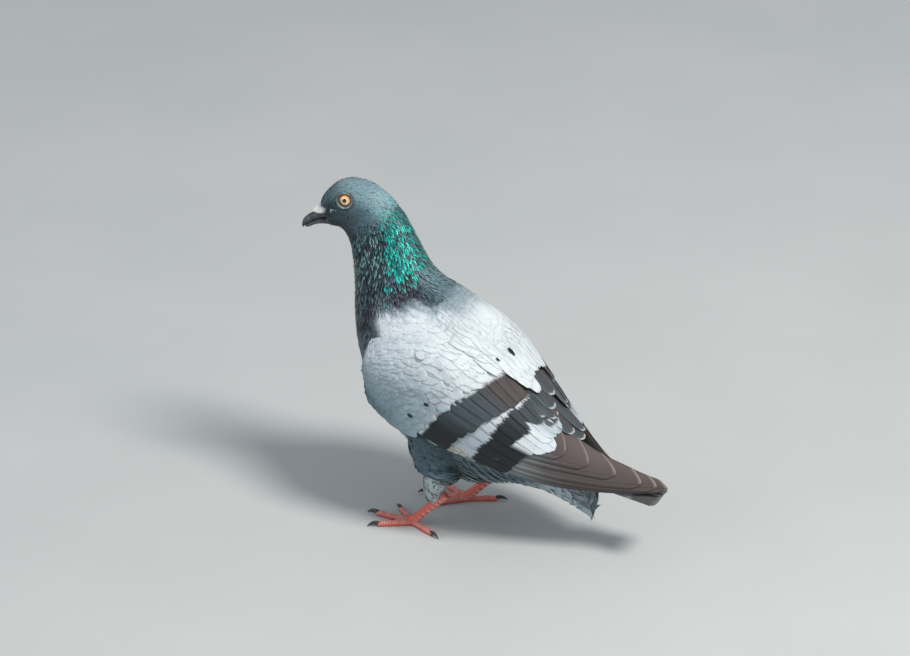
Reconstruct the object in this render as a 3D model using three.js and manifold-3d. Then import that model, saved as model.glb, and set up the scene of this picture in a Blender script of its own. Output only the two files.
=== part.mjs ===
// A feral pigeon, blue-bar, standing alert at life size, as a museum shows a still model.
//
// Frame: millimetres, +Z up, the floor at z = 0. The bird faces -Y and its left side is +X.
// The origin is on the floor, under the middle of the whole bird's box.
//
// Head, neck and trunk are one surface, lofted through stations that each pair a point of the
// dorsal outline with a point of the ventral one, and parted by thin cuts. Each folded wing is a
// curved shell on the flank with its long primaries as blades behind it. The tail is a fan of
// blades let into the rump. Toes rest on small flats, all at floor level.

import * as THREE from "three";
import { mergeVertices } from "three/addons/utils/BufferGeometryUtils.js";
import Module from "manifold-3d";

const wasm = await Module();
wasm.setup();

const { clamp, lerp, smoothstep, degToRad } = THREE.MathUtils;
const V3 = (x, y, z) => new THREE.Vector3(x, y, z);
const steps = (count) => Array.from({ length: count + 1 }, (_, i) => i / count);

// ---- Driving dimensions ------------------------------------------------------------------------

const GAP = 0.3; // between touching pieces
const HEAD_TURN = degToRad(15); // towards the bird's left
const NECK_AXIS_Y = -28; // the upright line that the head turns about

// Stations of head, neck and trunk: back and belly are [y, z] of the two outlines, half is half the
// width, low moves the widest place down, and full under 1 makes the section squarer than an oval.
const BODY = [
  { at: "face", back: [-70.5, 195.0], belly: [-68.5, 188.2], half: 4.2, low: 0.1, full: 0.9 },
  { at: "brow", back: [-66.0, 206.0], belly: [-62.0, 185.8], half: 8.9, low: -0.02, full: 0.8 },
  { at: "eye", back: [-56.5, 214.6], belly: [-56.0, 184.4], half: 11.0, low: -0.12, full: 0.75 },
  { at: "crown", back: [-44.5, 216.4], belly: [-52.5, 181.0], half: 12.4, low: -0.1, full: 0.78 },
  { at: "nape", back: [-30.3, 210.8], belly: [-50.0, 174.0], half: 13.5, low: -0.04, full: 0.88 },
  { at: "upper neck", back: [-16.6, 196.6], belly: [-49.0, 163.0], half: 15.0, low: 0, full: 1 },
  { at: "middle neck", back: [-6.3, 179.0], belly: [-48.0, 148.0], half: 18.5, low: 0.05, full: 1 },
  { at: "lower neck", back: [5.0, 161.5], belly: [-46.5, 130.0], half: 26.0, low: 0.12, full: 1 },
  { at: "shoulders", back: [23.0, 149.0], belly: [-42.0, 105.0], half: 36.0, low: 0.08, full: 1 },
  { at: "breast", back: [44.5, 132.0], belly: [-31.0, 79.0], half: 41.5, low: 0, full: 1 },
  { at: "back", back: [64.0, 107.0], belly: [-12.0, 52.0], half: 40.5, low: 0, full: 1 },
  { at: "loin", back: [83.0, 85.0], belly: [18.0, 35.5], half: 35.0, low: 0, full: 1 },
  { at: "rump", back: [100.0, 67.0], belly: [56.0, 33.5], half: 27.0, low: 0, full: 1 },
  { at: "vent", back: [110.0, 57.0], belly: [83.0, 30.0], half: 19.0, low: 0, full: 1 },
  { at: "tail root", back: [115.0, 48.0], belly: [101.0, 23.5], half: 13.0, low: 0, full: 1 },
  { at: "end", back: [114.0, 40.0], belly: [114.0, 20.0], half: 7.0, low: 0, full: 1 },
];

// Stations of a wing from its bend to its tip, as set for the left one: top and foot are the edges of
// the shell, bulge is how far its outside stands off the line between them, thick is its thickness.
// The right wing lies lower and closer: drop is taken off the height of its top edge.
const WING = [
  { top: [30, -27, 117], foot: [33, -29, 103], bulge: 1.5, thick: 3, drop: 0 },
  { top: [29, -18, 132], foot: [40, -20, 87], bulge: 7, thick: 5, drop: 0 },
  { top: [24.5, 2, 141], foot: [43.5, -3, 76], bulge: 11.5, thick: 6, drop: 0 },
  { top: [20, 26, 139], foot: [45, 19, 70], bulge: 14, thick: 6, drop: 0 },
  { top: [17, 50, 128], foot: [44, 44, 61], bulge: 12.5, thick: 5, drop: 1.5 },
  { top: [14, 72, 107.5], foot: [39, 70, 53], bulge: 9, thick: 4, drop: 4 },
  { top: [10.5, 94, 86], foot: [30, 96, 45.5], bulge: 6, thick: 3, drop: 8 },
  { top: [7, 118, 68.5], foot: [21, 121, 43], bulge: 3.5, thick: 2.4, drop: 11 },
  { top: [4.5, 143, 59.5], foot: [13, 145, 43.5], bulge: 2, thick: 1.8, drop: 7.5 },
  { top: [2, 166, 53], foot: [6, 164, 45.5], bulge: 0.6, thick: 1.2, drop: 5 },
];
const RIGHT_SHORTER = 4; // how much nearer the right wing's tip lies
const SHELL_END = 0.8; // where along the wing the shell gives way to the primaries alone
// Tips of the outer primaries, as places along and across the wing, outermost last.
const PRIMARY_TIPS = [
  { s: 0.82, v: 0.38 },
  { s: 0.87, v: 0.4 },
  { s: 0.92, v: 0.43 },
  { s: 0.96, v: 0.46 },
  { s: 1.0, v: 0.5 },
];
const PRIMARY_ROOT = { s: 0.5, v: 0.8 };
const PRIMARY_HALF = 7;
const BLADE = 0.9; // a long feather's thickness in the solids

const TAIL = { root: [0, 104, 50], tip: [0, 167, 40.5], feathers: 7, halfSpread: 8, half: 9, arch: 1.5 };

const EYE = { at: [6.0, -50.7, 206.4], radius: 5.6, up: degToRad(8), forward: degToRad(8) };
// The bare ring round an eye: out is how far it stands from the eye's middle along the eye's axis,
// and floor is the same for the flat cut into the head behind it.
const EYE_RING = { out: 4.6, floor: 3.9, radius: 4.55, tube: 0.6 };

// Upper and lower mandible, in profile from base to tip before the head is turned.
const BILL_UPPER = [
  { back: [-62.0, 196.0], belly: [-61.0, 190.6], half: 3.8 },
  { back: [-68.0, 195.6], belly: [-67.5, 189.9], half: 3.3 },
  { back: [-73.2, 192.8], belly: [-72.5, 188.2], half: 2.4 },
  { back: [-77.3, 189.2], belly: [-76.2, 185.8], half: 2.0 },
  { back: [-79.7, 185.6], belly: [-78.7, 183.8], half: 1.4 },
  { back: [-80.4, 182.8], belly: [-79.8, 182.5], half: 0.5 },
];
const BILL_LOWER = [
  { back: [-61.0, 190.2], belly: [-62.0, 186.2], half: 3.6 },
  { back: [-67.5, 189.5], belly: [-68.0, 186.2], half: 3.0 },
  { back: [-72.5, 187.8], belly: [-72.4, 185.1], half: 2.1 },
  { back: [-76.1, 185.4], belly: [-75.8, 183.4], half: 1.6 },
  { back: [-78.3, 183.6], belly: [-78.0, 183.0], half: 0.8 },
];
const CERE = { at: [1.6, -70.0, 195.0], radii: [2.2, 4.2, 2.2], tilt: degToRad(40) };

// One leg, as set for the left side: the right is its mirror image, set back by RIGHT_BACK.
const FLOOR = -4;
const FOOT = [22, 0.5, FLOOR + 3.6];
const ANKLE = [22, 21.4, 20.8];
const KNEE = [29, 13, 64];
const RIGHT_BACK = 17;
const TARSUS_RADIUS = 2.2;
const HUB_RADIUS = 3.2;
// Toes: heading is in degrees from straight ahead, outwards positive. joints is their number.
const TOES = [
  { name: "hallux", heading: 153, length: 19, claw: 6.5, radius: 1.9, joints: 1 },
  { name: "inner_toe", heading: -42, length: 21, claw: 6.5, radius: 2.0, joints: 2 },
  { name: "middle_toe", heading: -5, length: 26.5, claw: 7, radius: 2.2, joints: 3 },
  { name: "outer_toe", heading: 30, length: 22.5, claw: 6.5, radius: 2.1, joints: 4 },
];

// ---- Curves and closed surfaces ------------------------------------------------------------------

/** Catmull-Rom through rows of numbers, for t from 0, the first row, to 1, the last. */
function along(rows, t) {
  const last = rows.length - 1;
  const place = clamp(t, 0, 1) * last;
  const i = Math.min(Math.floor(place), last - 1);
  const f = place - i;
  const row = (k) => {
    if (k < 0) return rows[0].map((a, j) => 2 * a - rows[1][j]);
    if (k > last) return rows[last].map((a, j) => 2 * a - rows[last - 1][j]);
    return rows[k];
  };
  const [a, b, c, d] = [row(i - 1), row(i), row(i + 1), row(i + 2)];
  return b.map((_, j) => {
    const slopeIn = (c[j] - a[j]) / 2;
    const slopeOut = (d[j] - b[j]) / 2;
    const rise = c[j] - b[j];
    const bend = 3 * rise - 2 * slopeIn - slopeOut;
    const twist = slopeIn + slopeOut - 2 * rise;
    return b[j] + f * (slopeIn + f * (bend + f * twist));
  });
}

/** A closed surface over rings of equal length, with a fan over each end. */
function loft(rings) {
  const n = rings[0].length;
  const points = rings.flat();
  const centre = (ring) => ring.reduce((sum, p) => sum.add(p), V3(0, 0, 0)).divideScalar(n);
  const first = points.push(centre(rings[0])) - 1;
  const end = points.push(centre(rings.at(-1))) - 1;
  const faces = [];
  for (let j = 0; j < n; j++) {
    const k = (j + 1) % n;
    faces.push(first, k, j);
    faces.push(end, (rings.length - 1) * n + j, (rings.length - 1) * n + k);
    for (let i = 0; i + 1 < rings.length; i++) {
      const [a, b] = [i * n + j, i * n + k];
      faces.push(a, b, b + n, a, b + n, a + n);
    }
  }
  const geometry = new THREE.BufferGeometry();
  geometry.setFromPoints(points);
  geometry.setIndex(faces);
  return geometry;
}

/** Rings of an upright oval section, from rows of [backY, backZ, bellyY, bellyZ, half, low, full]. */
function profileRings(rows, from, to, count, around, grow = 0) {
  return steps(count).map((f) =>
    steps(around)
      .slice(1)
      .map((g) => profilePoint(rows, lerp(from, to, f), g * 2 * Math.PI, grow)),
  );
}

function profilePoint(rows, t, angle, grow = 0) {
  const [backY, backZ, bellyY, bellyZ, half, low = 0, full = 1] = along(rows, t);
  const up = V3(0, backY - bellyY, backZ - bellyZ).divideScalar(2);
  const height = up.length();
  const lift = Math.cos(angle);
  const p = V3(0, (backY + bellyY) / 2, (backZ + bellyZ) / 2);
  p.addScaledVector(up, (lift * (height + grow)) / height);
  const across = Math.sin(angle);
  p.x = Math.sign(across) * Math.pow(Math.abs(across), full) * (1 - low * lift) * (half + grow);
  return p;
}

/** A round limb along a path: knots are [x, y, z, radius], flattened across by squash. */
function limb(knots, count, around, grow = 0, squash = 1) {
  const at = (f) => V3(...along(knots, f).slice(0, 3));
  const rings = steps(count).map((f) => {
    const way = at(Math.min(f + 0.01, 1)).sub(at(Math.max(f - 0.01, 0))).normalize();
    const side = V3(0, 0, 1).cross(way).normalize();
    const up = way.clone().cross(side);
    const radius = along(knots, f)[3] + grow;
    const centre = at(f);
    if (f === 0) centre.addScaledVector(way, -grow);
    if (f === 1) centre.addScaledVector(way, grow);
    return steps(around)
      .slice(1)
      .map((g) => {
        const a = -g * 2 * Math.PI;
        return centre
          .clone()
          .addScaledVector(side, Math.cos(a) * radius * squash)
          .addScaledVector(up, Math.sin(a) * radius);
      });
  });
  return loft(rings);
}

/** A long feather as a thin blade of the given half width along a centre line. */
function blade(line, facing, half, tipShare, count = 4) {
  const rings = steps(count).map((f) => {
    const centre = line(f);
    const way = line(Math.min(f + 0.02, 1)).sub(line(Math.max(f - 0.02, 0))).normalize();
    const out = facing(f);
    const side = way.clone().cross(out).normalize();
    const rounding = Math.sqrt(Math.max(1 - Math.pow(clamp((f - tipShare) / (1 - tipShare), 0, 1), 2), 0.06));
    const wide = half(f) * rounding;
    return [
      [-1, 0.5],
      [1, 0.5],
      [1, -0.5],
      [-1, -0.5],
    ].map(([a, b]) =>
      centre
        .clone()
        .addScaledVector(side, a * wide)
        .addScaledVector(out, b * BLADE),
    );
  });
  return loft(rings);
}

// ---- Solids ----------------------------------------------------------------------------------------

/** A geometry as a manifold solid, turned the right way out. */
function solid(geometry) {
  const bare = geometry.index ? geometry.toNonIndexed() : geometry.clone();
  bare.deleteAttribute("normal");
  bare.deleteAttribute("uv");
  const merged = mergeVertices(bare, 1e-4);
  const vertProperties = merged.attributes.position.array;
  const build = (triVerts) =>
    new wasm.Manifold(new wasm.Mesh({ numProp: 3, vertProperties, triVerts }));
  const faces = new Uint32Array(merged.index.array);
  const made = build(faces);
  return made.volume() > 0 ? made : build(faces.reverse());
}

/** A manifold solid as a geometry with flat faces. */
function geometryOf(made) {
  const { vertProperties, triVerts } = made.getMesh();
  const geometry = new THREE.BufferGeometry();
  geometry.setAttribute("position", new THREE.BufferAttribute(new Float32Array(vertProperties), 3));
  geometry.setIndex(new THREE.BufferAttribute(new Uint32Array(triVerts), 1));
  const flat = geometry.toNonIndexed();
  flat.computeVertexNormals();
  return flat;
}

const union = (solids) => solids.reduce((sum, s) => sum.add(s));
const less = (made, ...cutters) => cutters.reduce((rest, c) => rest.subtract(c), made);
/** The largest body of a solid, without the slivers that a cut may leave. */
const main = (made) => made.decompose().reduce((a, b) => (a.volume() > b.volume() ? a : b));

/** The same geometry on the bird's right side, moved back by shift. */
const mirrored = (geometry, shift = 0) => geometry.clone().scale(-1, 1, 1).translate(0, shift, 0);

// ---- Head, neck and trunk ----------------------------------------------------------------------------

const BODY_ROWS = BODY.map((r) => [...r.back, ...r.belly, r.half, r.low, r.full]);
const station = (name) => BODY.findIndex((r) => r.at === name) / (BODY.length - 1);
const CUT = 0.0035; // a thin cut across the body, as a share of its stations

const turnAbout = (angle) =>
  new THREE.Matrix4()
    .makeTranslation(0, NECK_AXIS_Y, 0)
    .multiply(new THREE.Matrix4().makeRotationZ(angle))
    .multiply(new THREE.Matrix4().makeTranslation(0, -NECK_AXIS_Y, 0));

/** Rings of the body between two stations, turned with the head above the lower neck. */
function bodyRings(from, to, count, around) {
  return profileRings(BODY_ROWS, from, to, count, around).map((ring, i) => {
    const t = lerp(from, to, i / count);
    const share = 1 - smoothstep(t, station("nape"), station("lower neck"));
    return ring.map((p) => p.applyMatrix4(turnAbout(HEAD_TURN * share)));
  });
}

const withHead = (geometry) => geometry.applyMatrix4(turnAbout(HEAD_TURN));

const billRows = (rows) => rows.map((r) => [...r.back, ...r.belly, r.half]);
const billPart = (rows, grow = 0) => solid(withHead(loft(profileRings(billRows(rows), 0, 1, 7, 8, grow))));

/** A shape set along +X from the eye's middle, put in its place on the turned head. */
function atEye(geometry, side) {
  geometry.rotateY(-EYE.up).rotateZ(-EYE.forward).translate(...EYE.at);
  return solid(withHead(geometry.scale(side, 1, 1)));
}

const eyeball = (side, grow = 0) => atEye(new THREE.SphereGeometry(EYE.radius + grow, 12, 8), side);

/** The flat that an eye and its ring stand on, as a plug to cut from the head. */
function orbit(side) {
  const radius = EYE_RING.radius + EYE_RING.tube + GAP;
  const plug = new THREE.CylinderGeometry(radius, radius, 8, 16).rotateZ(Math.PI / 2);
  return atEye(plug.translate(EYE_RING.floor + 4, 0, 0), side);
}

function eyeRing(side) {
  const ring = new THREE.TorusGeometry(EYE_RING.radius, EYE_RING.tube, 6, 14);
  return atEye(ring.scale(1, 1, 0.6).rotateY(Math.PI / 2).translate(EYE_RING.out, 0, 0), side);
}

function cere(grow = 0) {
  const lobes = [-1, 1].map((side) => {
    const [rx, ry, rz] = CERE.radii;
    const lobe = new THREE.SphereGeometry(1, 8, 6);
    lobe.scale(rx + grow, ry + grow, rz + grow).rotateX(CERE.tilt);
    return solid(withHead(lobe.translate(side * CERE.at[0], CERE.at[1], CERE.at[2])));
  });
  return union(lobes);
}

// ---- Wings ---------------------------------------------------------------------------------------------

const WING_ROWS = {
  left: WING.map((r) => [...r.top, ...r.foot, r.bulge, r.thick]),
  right: WING.map(({ top: [tx, ty, tz], foot: [fx, fy, fz], bulge, thick, drop }) => {
    const shorter = RIGHT_SHORTER * smoothstep(ty, 94, 166);
    return [tx, ty - shorter, tz - drop, fx, fy - shorter, fz, bulge, thick];
  }),
};

/** The wing's frame at s along and v across: a point on the line between its edges, and directions. */
function wingFrame(rows, s, v) {
  const edge = (f) => {
    const row = along(rows, f);
    return V3(...row.slice(0, 3)).lerp(V3(...row.slice(3, 6)), v);
  };
  const row = along(rows, s);
  const down = V3(...row.slice(3, 6)).sub(V3(...row.slice(0, 3)));
  const back = edge(Math.min(s + 0.02, 1)).sub(edge(Math.max(s - 0.02, 0)));
  const out = down.clone().cross(back).normalize();
  const rise = out.clone().cross(back).normalize();
  return { line: edge(s), out, rise, bulge: row[6], thick: row[7] };
}

/** A point of the wing's outside, moved outwards by off. */
function wingPoint(rows, s, v, off = 0) {
  const { line, out, bulge } = wingFrame(rows, s, v);
  const swell = Math.sin(Math.PI * Math.pow(v, 0.85));
  return line.addScaledVector(out, bulge * swell + off);
}

/** The wing shell: its outside moved by outer, and all its other sides by room. */
function wingShell(rows, outer, room, end, across = 5) {
  const rings = steps(Math.round(end * 20)).map((f) => {
    const s = f * end;
    const spot = (v, away) => {
      const edge = v === 0 ? room : v === 1 ? -room : 0;
      return wingPoint(rows, s, v, away).addScaledVector(wingFrame(rows, s, v).rise, edge);
    };
    const outside = steps(across).map((v) => spot(v, outer));
    const inside = steps(across).map((v) => {
      const taper = Math.sqrt(Math.sin(Math.PI * clamp(v, 0.08, 0.92)));
      return spot(v, -Math.max(0.9, wingFrame(rows, s, v).thick * taper) - room);
    });
    return [...outside, ...inside.reverse()];
  });
  if (room > 0) {
    const forward = wingPoint(rows, 0, 0.5).sub(wingPoint(rows, 0.04, 0.5)).setLength(2 * room);
    rings.unshift(rings[0].map((p) => p.clone().add(forward)));
  }
  return loft(rings);
}

/** The outer primaries, each a blade under the one before it. */
function primaries(rows) {
  return PRIMARY_TIPS.map((tip, i) => {
    const drop = -0.7 - 0.28 * i;
    const s = (f) => lerp(PRIMARY_ROOT.s, tip.s, f);
    const v = (f) => lerp(PRIMARY_ROOT.v, tip.v, f);
    const line = (f) => wingPoint(rows, s(f), v(f), drop);
    const facing = (f) => wingFrame(rows, s(f), v(f)).out;
    const half = (f) => PRIMARY_HALF * (1 - 0.35 * f);
    return blade(line, facing, half, 0.86);
  });
}

// ---- Tail ------------------------------------------------------------------------------------------------

/** The tail feathers, from the outermost on each side to the middle one on top. */
function tailFeathers() {
  const middle = (TAIL.feathers - 1) / 2;
  return steps(TAIL.feathers - 1).map((share, i) => {
    const place = i - middle;
    const spread = (place / middle) * TAIL.halfSpread;
    const fall = (place / middle) ** 2 * TAIL.arch + Math.abs(place) * 0.35;
    const line = (f) =>
      V3(...TAIL.root)
        .lerp(V3(...TAIL.tip), f)
        .add(V3(spread * (0.25 + 0.75 * f), -Math.abs(place) * 1.2 * f, -fall));
    const facing = () => V3(0.12 * (place / middle), 0.25, 1).normalize();
    return blade(line, facing, () => TAIL.half, 0.8);
  });
}

/** A plain slab round the tail's root, which the trunk is cut by. */
function tailSlot() {
  const slab = new THREE.BoxGeometry(2 * (TAIL.halfSpread * 0.7 + TAIL.half), 60, 7.6);
  const slope = Math.atan2(TAIL.tip[2] - TAIL.root[2], TAIL.tip[1] - TAIL.root[1]);
  slab.translate(0, 27, -2).rotateX(slope);
  return solid(slab.translate(...TAIL.root));
}

// ---- Legs ------------------------------------------------------------------------------------------------

const aboveFloor = solid(new THREE.BoxGeometry(400, 600, 400).translate(0, 0, 200 + FLOOR));

function thigh(grow = 0) {
  const [kx, ky, kz] = KNEE;
  const [ax, ay, az] = ANKLE;
  const knots = [
    [kx, ky - 8, kz + 18, 6],
    [kx, ky - 2, kz + 8, 15],
    [kx, ky + 1.5, kz - 2, 17],
    [lerp(kx, ax, 0.5), lerp(ky, ay, 0.7), lerp(kz, az, 0.5), 11],
    [lerp(kx, ax, 0.8), ay, lerp(kz, az, 0.78), 6.4],
    [ax, ay, az + 0.8, 3.6],
  ];
  return limb(knots, 7, 10, grow, 0.8);
}

function tarsus(grow = 0) {
  const [fx, fy, fz] = FOOT;
  const [ax, ay, az] = ANKLE;
  const knots = [
    [ax, ay + 1.2, az + 1.2, TARSUS_RADIUS * 0.8],
    [ax, ay - 1, az - 0.6, TARSUS_RADIUS * 1.15],
    [lerp(ax, fx, 0.4), lerp(ay, fy, 0.4), lerp(az, fz, 0.4), TARSUS_RADIUS * 0.95],
    [fx, lerp(ay, fy, 0.85), lerp(az, fz, 0.85), TARSUS_RADIUS * 1.1],
    [fx, fy - 0.5, fz - 0.2, HUB_RADIUS * 0.8],
  ];
  return limb(knots, 5, 8, grow, 0.85);
}

const hub = (grow = 0) =>
  new THREE.SphereGeometry(HUB_RADIUS + grow, 8, 6).translate(...FOOT);

/** A point on the way of a toe, reach millimetres from the foot's middle, at a height over the floor. */
function ahead(toe, reach, height) {
  const heading = degToRad(toe.heading);
  return [FOOT[0] + Math.sin(heading) * reach, FOOT[1] - Math.cos(heading) * reach, FLOOR + height];
}

function toeLimb(toe, grow = 0) {
  const count = 2 * toe.joints + 1;
  const knots = steps(count).map((f, i) => {
    const radius = toe.radius * lerp(1.1, 0.78, f) * (i % 2 ? 0.92 : 1.06);
    return [...ahead(toe, lerp(1.6, toe.length, f), radius * 0.8), radius];
  });
  return limb(knots, count, 7, grow);
}

function claw(toe) {
  const root = toe.radius * 0.7;
  const start = toe.length + GAP;
  const knots = [
    [...ahead(toe, start, root + 0.5), root],
    [...ahead(toe, start + 0.4 * toe.claw, root + 0.9), root * 0.85],
    [...ahead(toe, start + 0.75 * toe.claw, root + 0.35), root * 0.55],
    [...ahead(toe, start + toe.claw, 0.5), 0.3],
  ];
  return limb(knots, 4, 6);
}

// ---- The bird ----------------------------------------------------------------------------------------------

const bird = new THREE.Group();

const finish = (color, roughness) => new THREE.MeshStandardMaterial({ color, roughness, metalness: 0 });
const SLATE = finish(0x4a5560, 0.8);
const BREAST = finish(0x3c444c, 0.75);
const PALE = finish(0xb9c2ca, 0.85);
const TAIL_GREY = finish(0x77828c, 0.85);
const HORN = finish(0x2a2a2e, 0.45);
const CERE_WHITE = finish(0xe4dcd4, 0.7);
const AMBER = finish(0xd9832c, 0.08);
const RED_SKIN = finish(0xc2503f, 0.6);

function piece(name, made, material) {
  const mesh = new THREE.Mesh(geometryOf(main(made)), material);
  mesh.name = name;
  bird.add(mesh);
}

const legs = { left: (geometry) => solid(geometry), right: (geometry) => solid(mirrored(geometry, RIGHT_BACK)) };
const wings = { left: (geometry) => solid(geometry), right: (geometry) => solid(mirrored(geometry)) };


const head = less(
  solid(loft(bodyRings(0, station("nape") - CUT, 9, 16))),
  billPart(BILL_UPPER, GAP),
  billPart(BILL_LOWER, GAP),
  cere(GAP),
  eyeball(1, GAP),
  eyeball(-1, GAP),
  orbit(1),
  orbit(-1),
);
const neck = solid(loft(bodyRings(station("nape"), station("lower neck") - CUT, 7, 18)));
const trunk = less(
  solid(loft(bodyRings(station("lower neck"), 1, 15, 18))),
  wings.left(wingShell(WING_ROWS.left, 20, 3 * GAP, 1)),
  wings.right(wingShell(WING_ROWS.right, 20, 3 * GAP, 1)),
  tailSlot(),
  legs.left(thigh(GAP)),
  legs.right(thigh(GAP)),
);

piece("head", head, SLATE);
piece("neck", neck, BREAST);
piece("trunk", trunk, PALE);
piece("bill_upper", billPart(BILL_UPPER), HORN);
piece("bill_lower", billPart(BILL_LOWER), HORN);
piece("cere", less(cere(), billPart(BILL_UPPER, GAP)), CERE_WHITE);
piece("eye_left", eyeball(1), AMBER);
piece("eye_right", eyeball(-1), AMBER);
piece("eye_ring_left", eyeRing(1), CERE_WHITE);
piece("eye_ring_right", eyeRing(-1), CERE_WHITE);

for (const [side, place] of Object.entries(wings)) {
  const rows = WING_ROWS[side];
  const blades = primaries(rows).map(place);
  piece("wing_" + side, union([place(wingShell(rows, 0, 0, SHELL_END)), ...blades]), PALE);
}

piece("tail", union(tailFeathers().map(solid)), TAIL_GREY);

for (const [side, place] of Object.entries(legs)) {
  const shank = union([place(tarsus()), place(hub())]).intersect(aboveFloor);
  const shankRoom = union([place(tarsus(GAP)), place(hub(GAP))]);
  const wing = wings[side](wingShell(WING_ROWS[side], 20, 2 * GAP, SHELL_END));
  piece("thigh_" + side, less(place(thigh()), place(tarsus(GAP)), wing), SLATE);
  piece("tarsus_" + side, shank, RED_SKIN);
  let neighbours = [shankRoom];
  for (const toe of TOES) {
    const flesh = place(toeLimb(toe)).intersect(aboveFloor);
    piece(toe.name + "_" + side, less(flesh, ...neighbours), RED_SKIN);
    piece("claw_" + toe.name + "_" + side, place(claw(toe)), HORN);
    neighbours = [...neighbours, place(toeLimb(toe, GAP))];
  }
}

// The origin goes under the middle of the bird's box.
const box = new THREE.Box3().setFromObject(bird);
const middle = box.getCenter(V3(0, 0, 0));
bird.position.set(-middle.x, -middle.y, -box.min.z);

export default bird;
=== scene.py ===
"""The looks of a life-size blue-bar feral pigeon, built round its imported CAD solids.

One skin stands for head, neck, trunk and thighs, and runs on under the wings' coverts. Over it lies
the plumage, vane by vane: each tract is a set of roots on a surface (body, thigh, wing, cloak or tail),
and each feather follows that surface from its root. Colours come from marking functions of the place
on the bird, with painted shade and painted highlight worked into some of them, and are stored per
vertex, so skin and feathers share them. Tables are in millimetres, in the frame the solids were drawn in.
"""

import math
from types import SimpleNamespace

import bpy
import numpy as np
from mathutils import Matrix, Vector
from mathutils.kdtree import KDTree


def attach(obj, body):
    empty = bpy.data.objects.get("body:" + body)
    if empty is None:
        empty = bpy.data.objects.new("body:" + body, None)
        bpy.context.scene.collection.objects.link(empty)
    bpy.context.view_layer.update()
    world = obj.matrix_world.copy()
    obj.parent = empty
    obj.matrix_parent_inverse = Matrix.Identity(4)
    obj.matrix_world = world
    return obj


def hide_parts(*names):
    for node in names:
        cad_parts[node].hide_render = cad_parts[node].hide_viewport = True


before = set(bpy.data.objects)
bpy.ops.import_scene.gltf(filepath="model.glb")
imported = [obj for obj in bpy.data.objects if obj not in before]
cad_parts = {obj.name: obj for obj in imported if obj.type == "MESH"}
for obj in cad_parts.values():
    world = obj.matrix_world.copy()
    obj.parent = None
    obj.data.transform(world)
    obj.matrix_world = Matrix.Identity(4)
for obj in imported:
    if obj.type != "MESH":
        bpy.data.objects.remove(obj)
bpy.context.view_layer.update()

MM = 0.001
SHIFT = np.array([0.0008, -44.244, 4.0])  # from the drawing frame to the part's own, in mm
rng = np.random.default_rng(20)

# ---- The bird's driving numbers, as in the solids ----------------

# back y, z, belly y, z, half width, low, full: face, brow, eye, crown, nape, upper neck, middle
# neck, lower neck, shoulders, breast, back, loin, rump, vent, tail root, end
BODY = np.array([
    [-70.5, 195.0, -68.5, 188.2, 4.2, 0.1, 0.9],
    [-66.0, 206.0, -62.0, 185.8, 8.9, -0.02, 0.8],
    [-56.5, 214.6, -56.0, 184.4, 11.0, -0.12, 0.75],
    [-44.5, 216.4, -52.5, 181.0, 12.4, -0.1, 0.78],
    [-30.3, 210.8, -50.0, 174.0, 13.5, -0.04, 0.88],
    [-16.6, 196.6, -49.0, 163.0, 15.0, 0, 1],
    [-6.3, 179.0, -48.0, 148.0, 18.5, 0.05, 1],
    [5.0, 161.5, -46.5, 130.0, 26.0, 0.12, 1],
    [23.0, 149.0, -42.0, 105.0, 36.0, 0.08, 1],
    [44.5, 132.0, -31.0, 79.0, 41.5, 0, 1],
    [64.0, 107.0, -12.0, 52.0, 40.5, 0, 1],
    [83.0, 85.0, 18.0, 35.5, 35.0, 0, 1],
    [100.0, 67.0, 56.0, 33.5, 27.0, 0, 1],
    [110.0, 57.0, 83.0, 30.0, 19.0, 0, 1],
    [115.0, 48.0, 101.0, 23.5, 13.0, 0, 1],
    [114.0, 40.0, 114.0, 20.0, 7.0, 0, 1],
])
STATIONS = len(BODY) - 1
NAPE, LOWER_NECK = 4, 7
HEAD_TURN, NECK_AXIS_Y = math.radians(15), -28

# top x, y, z, foot x, y, z, bulge, thick, and drop of the right wing's top edge
WING = np.array([
    [30, -27, 117, 33, -29, 103, 1.5, 3, 0],
    [29, -18, 132, 40, -20, 87, 7, 5, 0],
    [24.5, 2, 141, 43.5, -3, 76, 11.5, 6, 0],
    [20, 26, 139, 45, 19, 70, 14, 6, 0],
    [17, 50, 128, 44, 44, 61, 12.5, 5, 1.5],
    [14, 72, 107.5, 39, 70, 53, 9, 4, 4],
    [10.5, 94, 86, 30, 96, 45.5, 6, 3, 8],
    [7, 118, 68.5, 21, 121, 43, 3.5, 2.4, 11],
    [4.5, 143, 59.5, 13, 145, 43.5, 2, 1.8, 7.5],
    [2, 166, 53, 6, 164, 45.5, 0.6, 1.2, 5],
])
RIGHT_SHORTER = 4

EYE_AT = np.array([6.0, -50.7, 205.8])
EYE_RADIUS, EYE_UP, EYE_FORWARD = 5.6, math.radians(8), math.radians(8)

# back y, z, belly y, z, half
BILL_UPPER = np.array([
    [-62.0, 196.0, -61.0, 190.6, 3.8],
    [-68.0, 195.6, -67.5, 189.9, 3.3],
    [-73.2, 192.8, -72.5, 188.2, 2.4],
    [-77.3, 190.0, -76.2, 185.8, 2.1],
    [-79.8, 187.0, -78.7, 183.8, 1.6],
    [-80.6, 183.6, -79.8, 182.5, 0.6],
])
BILL_LOWER = np.array([
    [-61.0, 190.2, -62.0, 186.2, 3.6],
    [-67.5, 189.5, -68.0, 186.2, 3.0],
    [-72.5, 187.8, -72.4, 185.1, 2.1],
    [-76.1, 185.4, -75.8, 183.4, 1.6],
    [-78.3, 183.6, -78.0, 183.0, 0.8],
])
CERE_AT, CERE_RADII, CERE_TILT = (2.1, -68.7, 195.8), (2.6, 4.9, 2.9), math.radians(17)

TAIL_ROOT, TAIL_TIP = np.array([0, 104.0, 50.0]), np.array([0, 167.0, 40.5])

FLOOR = -4.0
FOOT = np.array([22, 0.5, FLOOR + 3.6])
ANKLE = np.array([22, 21.4, 20.8])
RIGHT_BACK = 17.0
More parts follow.
